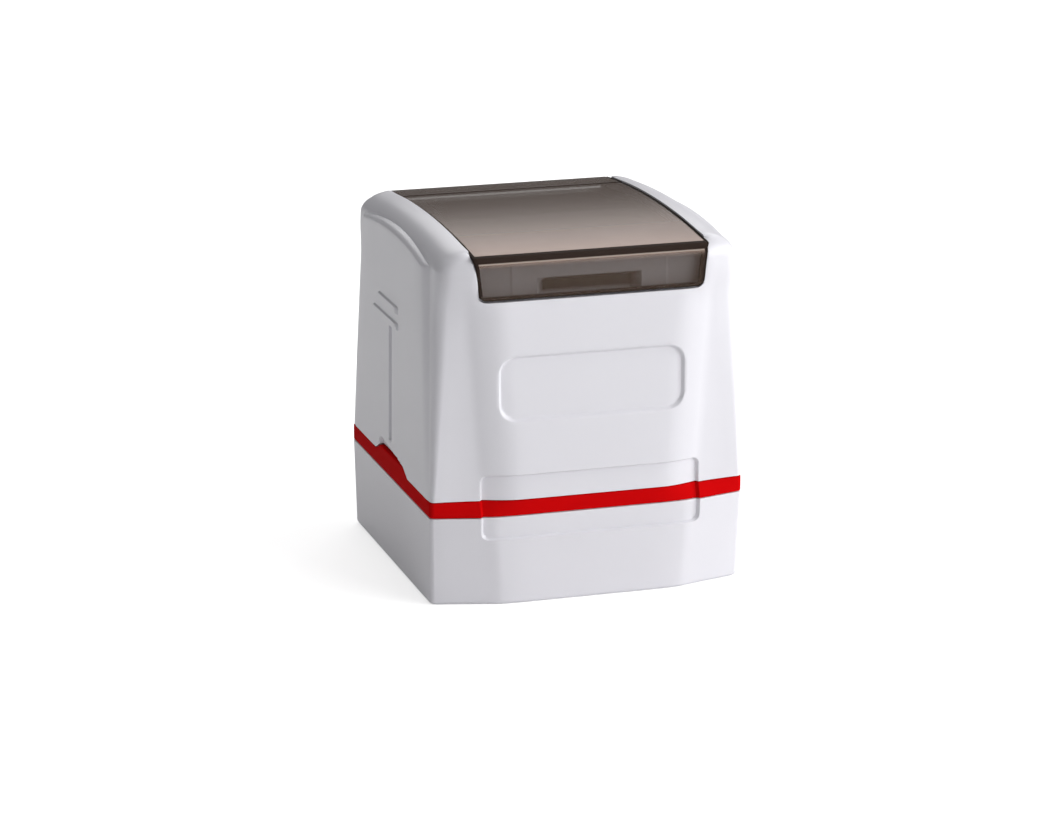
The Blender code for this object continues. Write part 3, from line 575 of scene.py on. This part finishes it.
shellForm = dict(
    rim=16.59, wall=1.8, seam=0.12, ceiling=46.0, upperWall=4.2, deckUnder=49.7, openingRound=0.2,
    padTopRound=1.1, padSideRound=1.8, crownSteps=14, deck=51.9, deckFront=23.24, deckRear=22.0,
    lip=52.5, lipDepth=1.0, faceHalf=16.0, notchHalf=8.2, notchTop=49.7, notchDepth=1.6,
    ribPlace=[10.4, 12.0], ribHalf=0.35, ribBlend=0.1, ribProud=0.1,
    bossRadius=3.4, bossBore=1.9, bossLow=38.0, bossTop=49.9, bossPlace=17.0,
    freeLevel=19.3, lastLevel=47.0, archLevel=50.0, crownLevel=55.6, fadeLevel=52.0, fadeRun=4.0,
)
edgeShares = np.array([0.16, 0.36, 0.56, 0.74, 0.88])   # levels between the opening and the side panel's top
topDrops = np.array([0.75, 0.55, 0.38, 0.24, 0.13, 0.05, 0.01, -0.02, -0.14])   # levels beside that top


def shellLevels():
    # flat levels from the rim to just under the window's opening, close together beside every edge
    low, high, top = pocket["low"], pocket["high"], sunkRecess["high"]
    markEdge = near[[1, 2, 3, 5]]
    return sortedLines([
        shellForm["rim"] + np.array([0.0, 0.04, 0.1, 0.18, 0.5, 1.1, 1.8, 2.4]), spread(17.6, 19.6, 0.18),
        slotLine["low"] + np.array([-0.05, -0.01, 0.01, 0.1]), spread(top - 0.35, top - 0.15, 0.1),
        top - near[2::-1], top + near[3:], spread(21.5, 28.3, 1.4), low - near[::-1],
        spread(low + 0.3, low + 2.6, 0.2), spread(32.2, 35.6, 1.1), spread(high - 2.6, high - 0.3, 0.2), high + near,
        38.6 + near[[0, 2, 3, 5]], 39.8 + markEdge, [40.5], 41.2 + markEdge, 42.4 + markEdge,
        spread(43.2, shellForm["lastLevel"], 1.2)])


def tabLine(y, grow=0.0):   # how high the ring's tab stands above the ring, along the side
    half, top = tab["baseHalf"] + grow, tab["topHalf"] + grow
    return (tab["rise"] + grow) * np.clip((half - np.abs(y + tab["back"])) / (half - top), 0, 1)


def crownInset(z, arch):
    # the crown rounds over like a quarter of an ellipse: how far it has turned inward at a height
    t = np.clip((z - (body["height"] - body["crownRise"] - arch)) / body["crownRise"], 0, 1)
    return 1 - np.sqrt(np.clip(1 - t * t, 0, 1))


def sidePanelOut(x, y, z, padTop):
    # adds the raised side panel with its arched top, the slot line, the marks and the scoop over the tab
    height = np.clip(padAt(z) - x, 0, None)
    dSide, dTop = padEdge(z) - np.abs(y), padTop - z
    rTop = np.minimum(shellForm["padTopRound"], height * 0.8)
    lossTop = rTop - np.sqrt(np.clip(rTop ** 2 - np.clip(rTop - dTop, 0, rTop) ** 2, 0, None))
    raised = np.clip(height - lossTop, 0, None) * smoothStep(dSide / shellForm["padSideRound"])
    x = x + np.where((dSide > 0) & (dTop > -0.001), raised, 0) - sunkBetween(y, z, slotLine)
    for mark in marks:
        middle, half = (mark["start"] + mark["end"]) / 2, (mark["end"] - mark["start"]) / 2
        d = roundedField(y - middle, z - mark["z"], half, markForm["height"] / 2, markForm["corner"])
        x = x + markForm["depth"] - sunk(-d, markForm)
    across = y - scoop["middle"]
    up = z - scoop["tilt"] * across - scoop["base"]
    return x - sunk(roundedField(across, up, scoop["half"], scoop["top"] - scoop["base"], scoop["corner"]), scoop)


def buildShell():
    form, shape = shellForm, body
    levels = shellLevels()
    yLine = skinLines(np.full((1, lineCount), form["archLevel"]))[1][0]
    arch = archDrop(yLine)
    head = padEdge(padPanel["cornerHeight"])
    padTop = padPanel["cornerHeight"] + padPanel["archRise"] * np.clip(1 - (yLine / head) ** 2, 0, 1)
    rim = form["rim"] + np.where(onSide, tabLine(yLine, form["seam"]), 0)
    free = form["freeLevel"]   # below it the levels bend up over the ring's tab, and above it they are flat
    flat = np.broadcast_to(levels[:, None], (len(levels), lineCount))
    flat = np.where(flat < free, rim + (flat - form["rim"]) * (free - rim) / (free - form["rim"]), flat)
    # the opening's lower edge, with its rounded corners
    grow = shape["openingGap"] + form["openingRound"]
    lowEdge = shape["openingLow"] - grow
    edgeX = openingEdge(lowEdge, grow)
    pivot = lineForm["pivot"]
    stretched = pivot + (frontLines - pivot) * (edgeX - pivot) / (shape["openingHalfFoot"] - pivot)
    inFront = np.where(frontLines > pivot, stretched, frontLines)
    xFront = np.concatenate([inFront, np.full(lineCount - 2 * len(frontLines), edgeX), inFront[::-1]])
    corner = shape["openingCorner"] + grow
    reach = np.clip(xFront - edgeX + corner, 0, corner)
    opening = lowEdge + corner - np.sqrt(np.clip(corner ** 2 - reach ** 2, 0, None))
    # levels beside the opening, over the side panel's arched top, and round the crown
    last = form["lastLevel"]
    z = np.concatenate([
        flat, (last + (opening - last) * 0.5)[None], opening[None],
        opening + (padTop - 1.0 - opening) * edgeShares[:, None], padTop - topDrops[:, None]])
    shoulder = shape["height"] - shape["crownRise"] - arch
    startTurn = np.arcsin(np.clip((z[-1] - shoulder) / shape["crownRise"], 0, 0.98))
    wide = sideAt(form["crownLevel"])
    endTurn = math.acos(1 - (wide - shape["openingHalfTop"] - grow) / shape["crownSide"])
    turns = startTurn + (endTurn - startTurn) * np.linspace(0, 1, form["crownSteps"] + 1)[1:, None]
    z = np.concatenate([z, shoulder + shape["crownRise"] * np.sin(turns)])
    inward = crownInset(z, arch)
    x, y, nx, ny = skinLines(z, shape["crownFront"] * inward, shape["crownSide"] * inward)
    x, y = sinkFront(x, y, nx, ny, z)
    y = y + np.where(y < 0, sunkBetween(x, z, pocket), 0)
    x[:, onSide] = sidePanelOut(x[:, onSide], y[:, onSide], z[:, onSide], padTop[onSide])
    skin = bothHalves(x, y, z)
    # underside: rim, then the hollow up to its ceiling and to the deck
    wall, upper = form["wall"], form["upperWall"]
    under = [levelLoop(level, inset, False) for inset, level in (
        (wall * 0.5, rim), (wall, rim), (wall, rim + 3), (wall, rim + 12), (wall, form["ceiling"]),
        (upper, form["ceiling"]), (upper, form["deckUnder"]))]
    rowCount, count = skin.shape[:2]
    open0 = len(levels) + 1   # the row of the opening's lower edge
    iB = len(frontLines) - 1   # the column of its side edge
    column = np.arange(count)
    inWindow = (np.minimum(column, count - column) <= iB) | (np.abs(column - (lineCount - 1)) <= iB)
    inWindow = inWindow & np.roll(inWindow, -1)   # a face there lies between two such columns, and is left out
    faces = gridFaces(rowCount, count, skip=lambda r, c: (r >= open0) & inWindow[c])
    points = skin.reshape(-1, 3)
    number = np.arange(rowCount * count).reshape(rowCount, count)
    base = len(points)
    hollow = np.stack(under[::-1])
    points = np.concatenate([points, hollow.reshape(-1, 3), [[0, 0, form["deckUnder"]]]])
    faces += gridFaces(len(hollow), count, start=base)
    i, j = column, (column + 1) % count
    rim0 = base + (len(hollow) - 1) * count
    faces += facesOf(rim0 + i, rim0 + j, number[0][j], number[0][i])
    faces += facesOf(base + j, base + i, np.full(count, len(points) - 1))
    # channel for the window: one section carried from front to rear
    rightTop = number[-1][iB:lineCount - iB]
    leftTop = number[-1][(count - np.arange(iB, lineCount - iB)) % count]
    across = len(rightTop)
    down = number[open0:, iB][::-1]
    floorFront = number[open0, np.r_[np.arange(iB, -1, -1), count - np.arange(1, iB + 1)]]
    sectionIds = np.concatenate([down, floorFront[1:], number[open0:, count - iB][1:]])
    rearIds = np.concatenate([number[open0:, lineCount - 1 - iB][::-1],
                              number[open0, np.arange(lineCount - 1 - iB, lineCount + iB)][1:],
                              number[open0:, lineCount - 1 + iB][1:]])
    section, rear, top = points[sectionIds], points[rearIds], points[rightTop]
    width, wallCount = len(sectionIds), len(down)
    roundRows, blendRows, faceRows, rimRows = 4, 12, 8, 5
    along, over = np.arange(across), np.arange(width)
    fromTop, fromEnd = np.minimum(over, width - 1 - over), np.minimum(along, across - 1 - along)
    arcTop, arcEnd = (np.radians(90) * np.clip(rows / roundRows, 0, 1) for rows in (fromTop, fromEnd))
    rounding = form["openingRound"]
    yFront, yRear = section[wallCount][1], rear[wallCount][1]
    before = rimRows + 2 + faceRows
    middle = across - before - 2 - rimRows - 2 - faceRows
    yFloor = np.concatenate([
        yFront + rounding * (1 - np.cos(arcEnd[:rimRows])), [yFront + 0.7, -form["deckFront"] - 0.05],
        np.full(faceRows, -form["deckFront"]), -form["deckFront"] + form["lipDepth"] + np.array([0, 0.02]),
        np.linspace(-form["deckFront"] + form["lipDepth"] + 0.4, form["deckRear"] - 0.15, middle),
        np.full(faceRows, form["deckRear"]), [form["deckRear"] + 0.05, yRear - 0.7],
        yRear - rounding * (1 - np.cos(arcEnd[-rimRows:]))])
    floorZ = shape["openingLow"] - shape["openingGap"]
    level = np.full(across, floorZ)   # rebate floor, deck's front face, its lip, the deck, and the rear face
    level[rimRows + 2:before] = np.linspace(floorZ, form["lip"], faceRows)
    level[before] = form["lip"]
    level[before + 1:before + 2 + middle] = form["deck"]
    level[before + 2 + middle:before + 2 + middle + faceRows] = np.linspace(form["deck"], floorZ, faceRows)
    level = level[:, None]
    zTop, zSection, deck = top[:, 2][:, None], section[:, 2][None], form["deck"]
    stretch = (zTop - deck) / (section[0, 2] - deck)
    zWall = np.where(zSection > deck, deck + (zSection - deck) * stretch, zSection)
    zWall = zWall - rounding * (1 - np.cos(arcTop))[None] * (arcTop > 0)
    onWall = (fromTop < wallCount)[None]
    turnIn = np.maximum(np.sin(arcTop)[None], np.sin(arcEnd)[:, None])
    xWide = np.abs(section[:, 0])[None] * np.ones_like(turnIn) - rounding * turnIn * onWall
    x2 = np.sign(section[:, 0])[None] * xWide
    fade = np.clip((form["fadeLevel"] - zSection) / form["fadeRun"], 0, 1)
    z2 = np.maximum(zWall + rounding * np.sin(arcEnd)[:, None] * fade, np.where(level > floorZ + 0.001, level, -1))
    isFront = (along < across / 2)[:, None]
    yEnds = np.where(isFront, section[:, 1][None], rear[:, 1][None])
    yEnd = np.where(isFront, yFront, yRear)
    yDeep = yFloor[:, None] + (yEnds - yEnd) * np.clip(1 - fromEnd / blendRows, 0, 1)[:, None]
    blend = smoothStep(fromTop / blendRows)[None]
    y2 = (1 - blend) * top[:, 1][:, None] + blend * yDeep
    inRound = rounding * (1 - np.cos(arcEnd))[:, None]
    y2[:rimRows] = section[:, 1][None] + inRound[:rimRows]
    y2[-rimRows:] = rear[:, 1][None] - inRound[-rimRows:]
    # the finger notch and the ribs on the deck's front face
    onFace = (along >= rimRows + 2)[:, None] & (along < before)[:, None] & (np.abs(x2) < form["faceHalf"])
    ribs = np.zeros_like(x2)
    for place in form["ribPlace"]:
        ribs = np.maximum(ribs, np.clip((form["ribHalf"] - np.abs(np.abs(x2) - place)) / form["ribBlend"], 0, 1))
    notch = (np.abs(x2) < form["notchHalf"]) & (z2 < form["notchTop"])
    y2 = y2 + np.where(onFace, notch * form["notchDepth"] - ribs * form["ribProud"], 0)
    base = len(points)
    points = np.concatenate([points, np.stack([x2, y2, z2], axis=-1).reshape(-1, 3)])
    ids = base + np.arange(across * width).reshape(across, width)
    ids[0], ids[-1] = sectionIds, rearIds
    ids[:, 0], ids[:, -1] = rightTop, leftTop
    faces += facesOf(ids[1:, :-1], ids[1:, 1:], ids[:-1, 1:], ids[:-1, :-1])
    return points, faces


def fourPlaces(place):
    return [(x, y) for x in (-place, place) for y in (-place, place)]


# the tubes that hold the springs' upper ends
ends = [(shellForm[size], shellForm[end]) for size, end in (
    ("bossRadius", "bossLow"), ("bossRadius", "bossTop"), ("bossBore", "bossTop"), ("bossBore", "bossLow"))]
bosses = [stack([roundLoop(x, y, z, radius) for radius, z in ends], closed=True)
          for x, y in fourPlaces(shellForm["bossPlace"])]
shellMesh = together(buildShell(), *bosses)
shell = addPiece("handleShell", *shellMesh, shellWhite, "handle", "white_plastic", ["handle_shell"])


def markSpots(piece, name, values):   # a value between 0 and 1 on each of the piece's points, for its material
    piece.data.attributes.new(name, "FLOAT", "POINT").data.foreach_set("value", np.asarray(values, np.float32))


notchShadeRoom = dict(half=8.5, low=47.4, high=49.9, front=-22.74, rear=-21.2)   # the room of the notch, whose white is darkened as painted shade
x, y, z = shellMesh[0].T
markSpots(shell, "notchShadePaint", (np.abs(x) < notchShadeRoom["half"]) & (z > notchShadeRoom["low"]) & (z < notchShadeRoom["high"])
          & (y > notchShadeRoom["front"]) & (y < notchShadeRoom["rear"]))

# Dust cap: outer skin, the lip that the ring sits on, and the hollow with its ribs

capForm = dict(edgeRound=0.7, topRound=0.12, wall=1.8, lipInset=1.0, lipTop=15.0, lipEdge=0.1, floor=1.8,
               footRound=0.5, ribPlace=12.0, ribHalf=0.6, ribLow=0.9, ribTop=12.0, ribReach=21.7, ribEnds=[24.1, 24.3])


def skinStack(pairs, sink=True):   # loops of the plan outline for pairs of inset and level
    return [levelLoop(z, inset, sink) for inset, z in pairs]


def quarter(steps):   # sine and cosine of a quarter turn
    turn = np.linspace(0, math.pi / 2, steps + 1)
    return np.sin(turn), np.cos(turn)


def buildCap():
    form, top = capForm, body["capHeight"]
    sin, cos = quarter(7)
    low = [(form["edgeRound"] * (1 - s), form["edgeRound"] * (1 - c)) for s, c in zip(sin, cos)]
    levels = np.concatenate([spread(1.2, 10.2, 1.5), sunkRecess["low"] - near[::-1], [11.2],
                             spread(11.6, 13.4, 0.6), [13.75]])
    sin, cos = quarter(4)
    high = [(form["topRound"] * (1 - c), top - form["topRound"] * (1 - s)) for s, c in zip(sin, cos)]
    foot = [(form["wall"] + form["footRound"] * (1 - c), form["floor"] + form["footRound"] * (1 - s))
            for s, c in zip(sin, cos)]
    lip, lipTop, wall, edge = form["lipInset"], form["lipTop"], form["wall"], form["lipEdge"]
    inside = [(lip, top), (lip, lipTop - edge), (lip + edge, lipTop), (wall - edge, lipTop), (wall, lipTop - edge),
              (wall, 8.0)] + foot
    shells = [stack(skinStack(low + [(0, z) for z in levels] + high) + skinStack(inside, False))]
    for turn in range(4):
        for place in (-form["ribPlace"], form["ribPlace"]):
            points, faces = boxShell((form["ribReach"], place - form["ribHalf"], form["ribLow"]),
                                     (form["ribEnds"][turn % 2], place + form["ribHalf"], form["ribTop"]))
            shells.append((quarterTurn(points, turn), faces))
    return together(*shells)


addPiece("dustCap", *buildCap(), white, "cap", "white_plastic", ["dust_cap"])

# Colour ring: a band with a tab on each side, and a tongue that holds it in the handle

ringForm = dict(low=14.12, top=16.47, edge=0.1, tongueInset=2.04, tongueWall=0.6, tongueTop=18.87, skirt=0.85,
                web=15.27, tabDepth=1.6, tabStart=15.9)


def buildRing():
    form = ringForm
    yLine = skinLines(np.full((1, lineCount), form["top"]))[1][0]
    rise = np.where(onSide, tabLine(yLine), 0)
    tabTop = form["top"] + rise
    loops = []

    def add(z, inset, sink=True):
        inTab = sink & onSide & (rise > 0.02) & (z > form["top"] + 0.05)   # the tab stays flush with the band
        flush = np.where(inTab, body["padRelief"] + body["sideLean"] * above(z), 0)
        loops.append(levelLoop(z, inset, sink, flush))

    low, edge, depth = form["low"], form["edge"], form["tabDepth"]
    for z, inset in ((low, edge), (low + 0.03, 0.03), (low + 0.1, 0), (14.6, 0), (15.2, 0)):
        add(z, inset)
    shares = [0, 0.15, 0.285, 0.30, 0.345, 0.36, 0.6, 0.8, 0.92, 0.97, 1.0]
    for share, inset in zip(shares, [0] * 9 + [0.03, 0.1]):
        add(form["tabStart"] + (tabTop - form["tabStart"]) * share, inset)
    add(tabTop, depth, False)
    add(form["top"], depth + 0.01, False)
    outer, tongueTop = form["tongueInset"], form["tongueTop"]
    inner = outer + form["tongueWall"]
    for z, inset in ((form["top"], outer), (tongueTop - 0.1, outer), (tongueTop, outer + 0.1), (tongueTop, inner),
                     (form["web"], inner), (form["web"], form["skirt"]), (low, form["skirt"])):
        add(z, inset, False)
    return stack(loops, closed=True)


addPiece("colourRing", *buildRing(), red, "handle", "red_plastic", ["colour_ring"])

# Window cover: a bent strip of even wall from the front skirt over the arch to the hinge barrel

coverForm = dict(
    apex=55.6, wall=1.5, ledgeIn=0.4, ledgeUp=0.2, innerIn=1.1, corner=1.1, edge=0.14, stripRise=0.08,
    lineY=16.4, lineHalf=0.3, lineDepth=0.28, hingeY=23.602, hingeZ=49.1, barrel=1.4, pin=0.65, pinReach=1.1,
    swingTop=51.7, swingHalf=17.35, darkEdge=0.9, darkSide=0.62, darkLow=0.32, darkBlend=0.08)


def coverProfile():
    # outer and inner line of the strip in Y and Z, point for point, from the front skirt to the hinge, and the
    # half width of each row
    form, shape = coverForm, body
    ledgeZ, low, corner, r = shape["openingLedge"], shape["openingLow"], form["corner"], form["edge"]
    ledgeY = frontAt(ledgeZ)
    ridgeY = ledgeY - form["ledgeIn"]

    def topAt(y):
        return form["apex"] - archDrop(y)

    sin, cos = quarter(6)
    skirtZ = np.concatenate([low + corner * (1 - cos), np.linspace(low + 1.4, ledgeZ - 0.5, 8)])
    sin, cos = quarter(4)
    ledgeArcY, ledgeArcZ = ledgeY - r * (1 - cos), ledgeZ - r * (1 - sin)
    bandLow = ledgeZ + form["ledgeUp"]
    ridgeZ = topAt(ridgeY)
    topArcY, topArcZ = ridgeY - r * (1 - cos), ridgeZ - r * (1 - sin)
    outerY = np.concatenate([frontAt(skirtZ), ledgeArcY, [ridgeY + 0.05, ridgeY, ridgeY], topArcY])
    outerZ = np.concatenate([skirtZ, ledgeArcZ, [bandLow - 0.02, bandLow + 0.05, (bandLow + ridgeZ) / 2], topArcZ])
    innerTop, innerRidge = ridgeZ - form["wall"], ridgeY - form["innerIn"]
    count = len(skirtZ)
    innerZ = low + (innerTop - 0.35 - low) * (skirtZ - low) / (skirtZ[-1] - low)
    innerY = np.interp(innerZ, [low, innerTop], [frontAt(low) - form["wall"], innerRidge])
    innerZ = np.concatenate([innerZ, innerTop - 0.3 + 0.3 * np.linspace(0, 1, len(outerY) - count)])
    innerY = np.concatenate([innerY, np.full(len(outerY) - count, innerRidge)])
    # over the arch, with the line near its rear and a strip behind that line which stands up a little
    dark, line = form["darkEdge"], form["lineY"]
    across = np.concatenate([[-ridgeY + 0.4, -ridgeY + dark, -ridgeY + dark + 0.08],
                             spread(-ridgeY + 1.6, line - 1.2, 1.1), line + np.linspace(-0.8, 0.8, 17),
                             spread(line + 1.2, ridgeY - 0.5, 1.1)])
    groove = np.clip(1 - np.abs(across - line) / form["lineHalf"], 0, 1)
    topZ = topAt(across) - form["lineDepth"] * smoothStep(groove * 1.5)
    topZ = topZ + form["stripRise"] * smoothStep((across - line) / 0.3)
    y = np.concatenate([-outerY, across, outerY[::-1]])
    z = np.concatenate([outerZ, topZ, outerZ[::-1]])
    insideY = np.concatenate([-innerY, across * (innerRidge / ridgeY), innerY[::-1]])
    insideZ = np.concatenate([innerZ, topAt(across) - form["wall"], innerZ[::-1]])
    rounded = corner - np.sqrt(np.clip(corner ** 2 - (low + corner - z) ** 2, 0, None))
    half = openingEdge(z) - np.where((y < 0) & (z < low + corner), rounded, 0)
    rear = (y > 0) & (z < form["swingTop"])
    half = np.where(rear, np.minimum(half, form["swingHalf"]), half)
    keep = ~((y > 0) & (z < form["hingeZ"]))
    return [values[keep] for values in (y, z, insideY, insideZ, half)]


def buildCover():
    form = coverForm
    y, z, insideY, insideZ, half = coverProfile()
    sin, cos = quarter(4)
    r = form["edge"]
    edgeX, edgeIn = r * (1 - sin[::-1]), r * (1 - cos[::-1]) / form["wall"]
    outX = np.linspace(-1, 1, 11)[1:-1]
    beside = np.array([0.72, 0.62, 0.52])   # lines just inside the edges, where the dark rim ends
    loops = []
    shrink = np.zeros(len(y))
    shrink[:4] = [0.12, 0.04, 0.01, 0.0]
    for k in range(len(y)):
        wide = half[k] - shrink[k]
        line = np.concatenate([beside[::-1] - wide, outX * (wide - 1), wide - beside])
        xs = np.concatenate([-wide + edgeX[::-1], line, wide - edgeX, wide - edgeX[::-1], line[::-1], -wide + edgeX])
        depth = np.concatenate([edgeIn[::-1], line * 0, edgeIn, 1 - edgeIn[::-1], line * 0 + 1, 1 - edgeIn])
        depth = shrink[k] / form["wall"] + depth * (1 - 2 * shrink[k] / form["wall"])
        loops.append(np.stack([xs, y[k] + depth * (insideY[k] - y[k]), z[k] + depth * (insideZ[k] - z[k])], axis=1))
    shells = [stack(loops)]
    for radius, reach in ((form["barrel"], form["swingHalf"]), (form["pin"], form["swingHalf"] + form["pinReach"])):
        ends = [(radius - 0.1, -reach), (radius, 0.1 - reach), (radius, reach - 0.1), (radius - 0.1, reach)]
        shells.append(stack([crossLoop(x, form["hingeY"], form["hingeZ"], size) for size, x in ends]))
    return together(*shells)


cover = addPiece("windowCover", *buildCover(), smoked, "window", "smoked_plastic", ["window_cover"])


def markEdges(piece):
    # two marks between 0 and 1 on the cover's points: painted shade along its edges, and a painted highlight along the
    # ledge
    form, blend = coverForm, coverForm["darkBlend"]
    spots = np.empty(len(piece.data.vertices) * 3)
    piece.data.vertices.foreach_get("co", spots)
    x, y, z = spots.reshape(-1, 3).T / mm
    front, rear, x, y = y < 0, y > 0, np.abs(x), np.abs(y)
    ledge = body["openingLedge"]
    ridge = frontAt(ledge) - form["ledgeIn"]
    # painted shade: dark marks along the side edges, the foot of the front skirt, the band under the ridge and the
    # line near the rear
    side = np.clip((form["darkSide"] - (openingEdge(z) - x)) / blend, 0, 1) * (z > 45)
    low = np.clip((body["openingLow"] + form["darkLow"] - z) / blend, 0, 1) * front
    band = ((y > ridge - form["darkEdge"] - 0.02) & (z > ledge + 0.13)) * 1.0
    band = np.maximum(band, np.clip(1.6 - np.abs(y - form["lineY"]) / 0.4, 0, 1) * rear * (z > 53.5))
    # painted highlight: a thin bright line along the ledge, except at the sides
    line = ((z > ledge - 0.03) & (z < ledge + 0.06) & (y > ridge - 0.02)) * (side < 0.5)
    markSpots(piece, "edgeShadePaint", np.maximum(np.maximum(side, low), band) * (1 - line))
    markSpots(piece, "ledgeHighlightPaint", line)


markEdges(cover)

# Sleeve: the skirt that stands on the paper, its shelf and four posts inside the springs

sleeveForm = dict(half=21.4, wall=1.4, low=2.1, top=26.0, shelf=1.5, corner=2.0, innerCorner=1.3, holeX=12.5,
                  holeY=8.3, round=0.25, post=1.6, postPlace=17.0, postLow=25.3, postTop=41.0)


def buildSleeve():
    form = sleeveForm
    half, r, low, top = form["half"], form["round"], form["low"], form["top"]
    sin, cos = quarter(4)
    sizes = [(half - r * (1 - s), low + r * (1 - c)) for s, c in zip(sin, cos)]
    sizes += [(half, 9.0), (half, 17.0)]
    sizes += [(half - r * (1 - c), top - r * (1 - s)) for s, c in zip(sin, cos)]
    loops = [slabLoop(size, size, z, form["corner"]) for size, z in sizes]
    shelfLow, inner = top - form["shelf"], half - form["wall"]
    loops += [slabLoop(form["holeX"], form["holeY"], z, form["corner"]) for z in (top, shelfLow)]
    loops += [slabLoop(inner, inner, z, form["innerCorner"]) for z in (shelfLow, 12.0, low)]
    post, postTop = form["post"], form["postTop"]
    ends = [(post, form["postLow"]), (post, postTop - 0.5), (post - 0.15, postTop - 0.15), (post - 0.5, postTop)]
    posts = [stack([roundLoop(x, y, z, radius) for radius, z in ends]) for x, y in fourPlaces(form["postPlace"])]
    return together(stack(loops, closed=True), *posts)


addPiece("innerSleeve", *buildSleeve(), white, "sleeve", "white_plastic", ["sleeve"])

# Camera, floor and lights

view = dict(focal=3703, width=1040, sensor=36, place=(-0.16863, -0.53629, 0.18192), tilt=74.18, turn=-17.09)
camera = intoScene("camera", bpy.data.cameras.new("camera"))
camera.data.lens = view["focal"] / view["width"] * view["sensor"]
camera.data.sensor_width = view["sensor"]
camera.data.clip_start, camera.data.clip_end = 0.01, 20
camera.location = view["place"]
camera.rotation_euler = (math.radians(view["tilt"]), 0, math.radians(view["turn"]))
scene.camera = camera

scene.view_settings.view_transform = "Standard"

stage = dict(size=3.0, colour=(0.9, 0.9, 0.9), glow=0.6, mirrored=0.4, sky=0.19, skySeen=0.81, skyMirrored=0.08)


def rayKinds(tree):   # 1 for a ray from the camera, off a glossy surface, or through a clear one
    path = tree.nodes.new("ShaderNodeLightPath")
    return [Wire(tree, path.outputs["Is " + kind + " Ray"]) for kind in ("Camera", "Glossy", "Transmission")]


def stageMaterial(name):
    # a plain pale surface that the camera and gloss see as white where nothing shades it
    made = bpy.data.materials.new(name)
    made.use_nodes = True
    inputs = made.node_tree.nodes["Principled BSDF"].inputs
    inputs["Base Color"].default_value = (*stage["colour"], 1)
    inputs["Roughness"].default_value = 0.9
    inputs["Specular IOR Level"].default_value = 0.0
    inputs["Emission Color"].default_value = (1, 1, 1, 1)
    seen, mirrored, through = rayKinds(made.node_tree)
    seen.join(inputs["Emission Strength"], (seen + mirrored * stage["mirrored"] + through) * stage["glow"])
    return made


wide = stage["size"]
floor = bpy.data.meshes.new("floor")
floor.from_pydata([(-wide, -wide, 0), (wide, -wide, 0), (wide, wide, 0), (-wide, wide, 0)], [], [(0, 1, 2, 3)])
floor.materials.append(stageMaterial("paleFloor"))
intoScene("floor", floor)


def softBox(name, place, size, power):   # a square lamp that looks at the middle of the stamp
    lamp = bpy.data.lights.new(name, "AREA")
    lamp.shape = "RECTANGLE"
    lamp.size = lamp.size_y = size
    lamp.energy = power
    thing = intoScene(name, lamp)
    thing.location = place
    way = np.array((0, 0, 0.03)) - np.array(place)
    way = way / np.linalg.norm(way)
    thing.rotation_euler = (math.acos(-way[2]), 0, math.atan2(way[1], way[0]) - math.pi / 2)


softBox("keyRight", (0.62, -0.29, 0.33), 0.5, 3.2)
softBox("sideRight", (0.80, 0.10, 0.25), 0.5, 1.0)
softBox("frontRight", (0.45, -0.65, 0.30), 0.4, 2.15)
softBox("backTop", (0.235, 0.62, 0.56), 0.6, 1.85)
softBox("topSoft", (0.0, -0.10, 0.80), 0.6, 0.9)

world = bpy.data.worlds.new("studio")
scene.world = world
world.use_nodes = True
seen, mirrored, through = rayKinds(world.node_tree)
sky = world.node_tree.nodes["Background"].inputs
sky["Color"].default_value = (1, 1, 1, 1)
seen.join(sky["Strength"], stage["sky"] + (seen + through) * stage["skySeen"] - mirrored * stage["skyMirrored"])
print("camera, floor and lights ready")
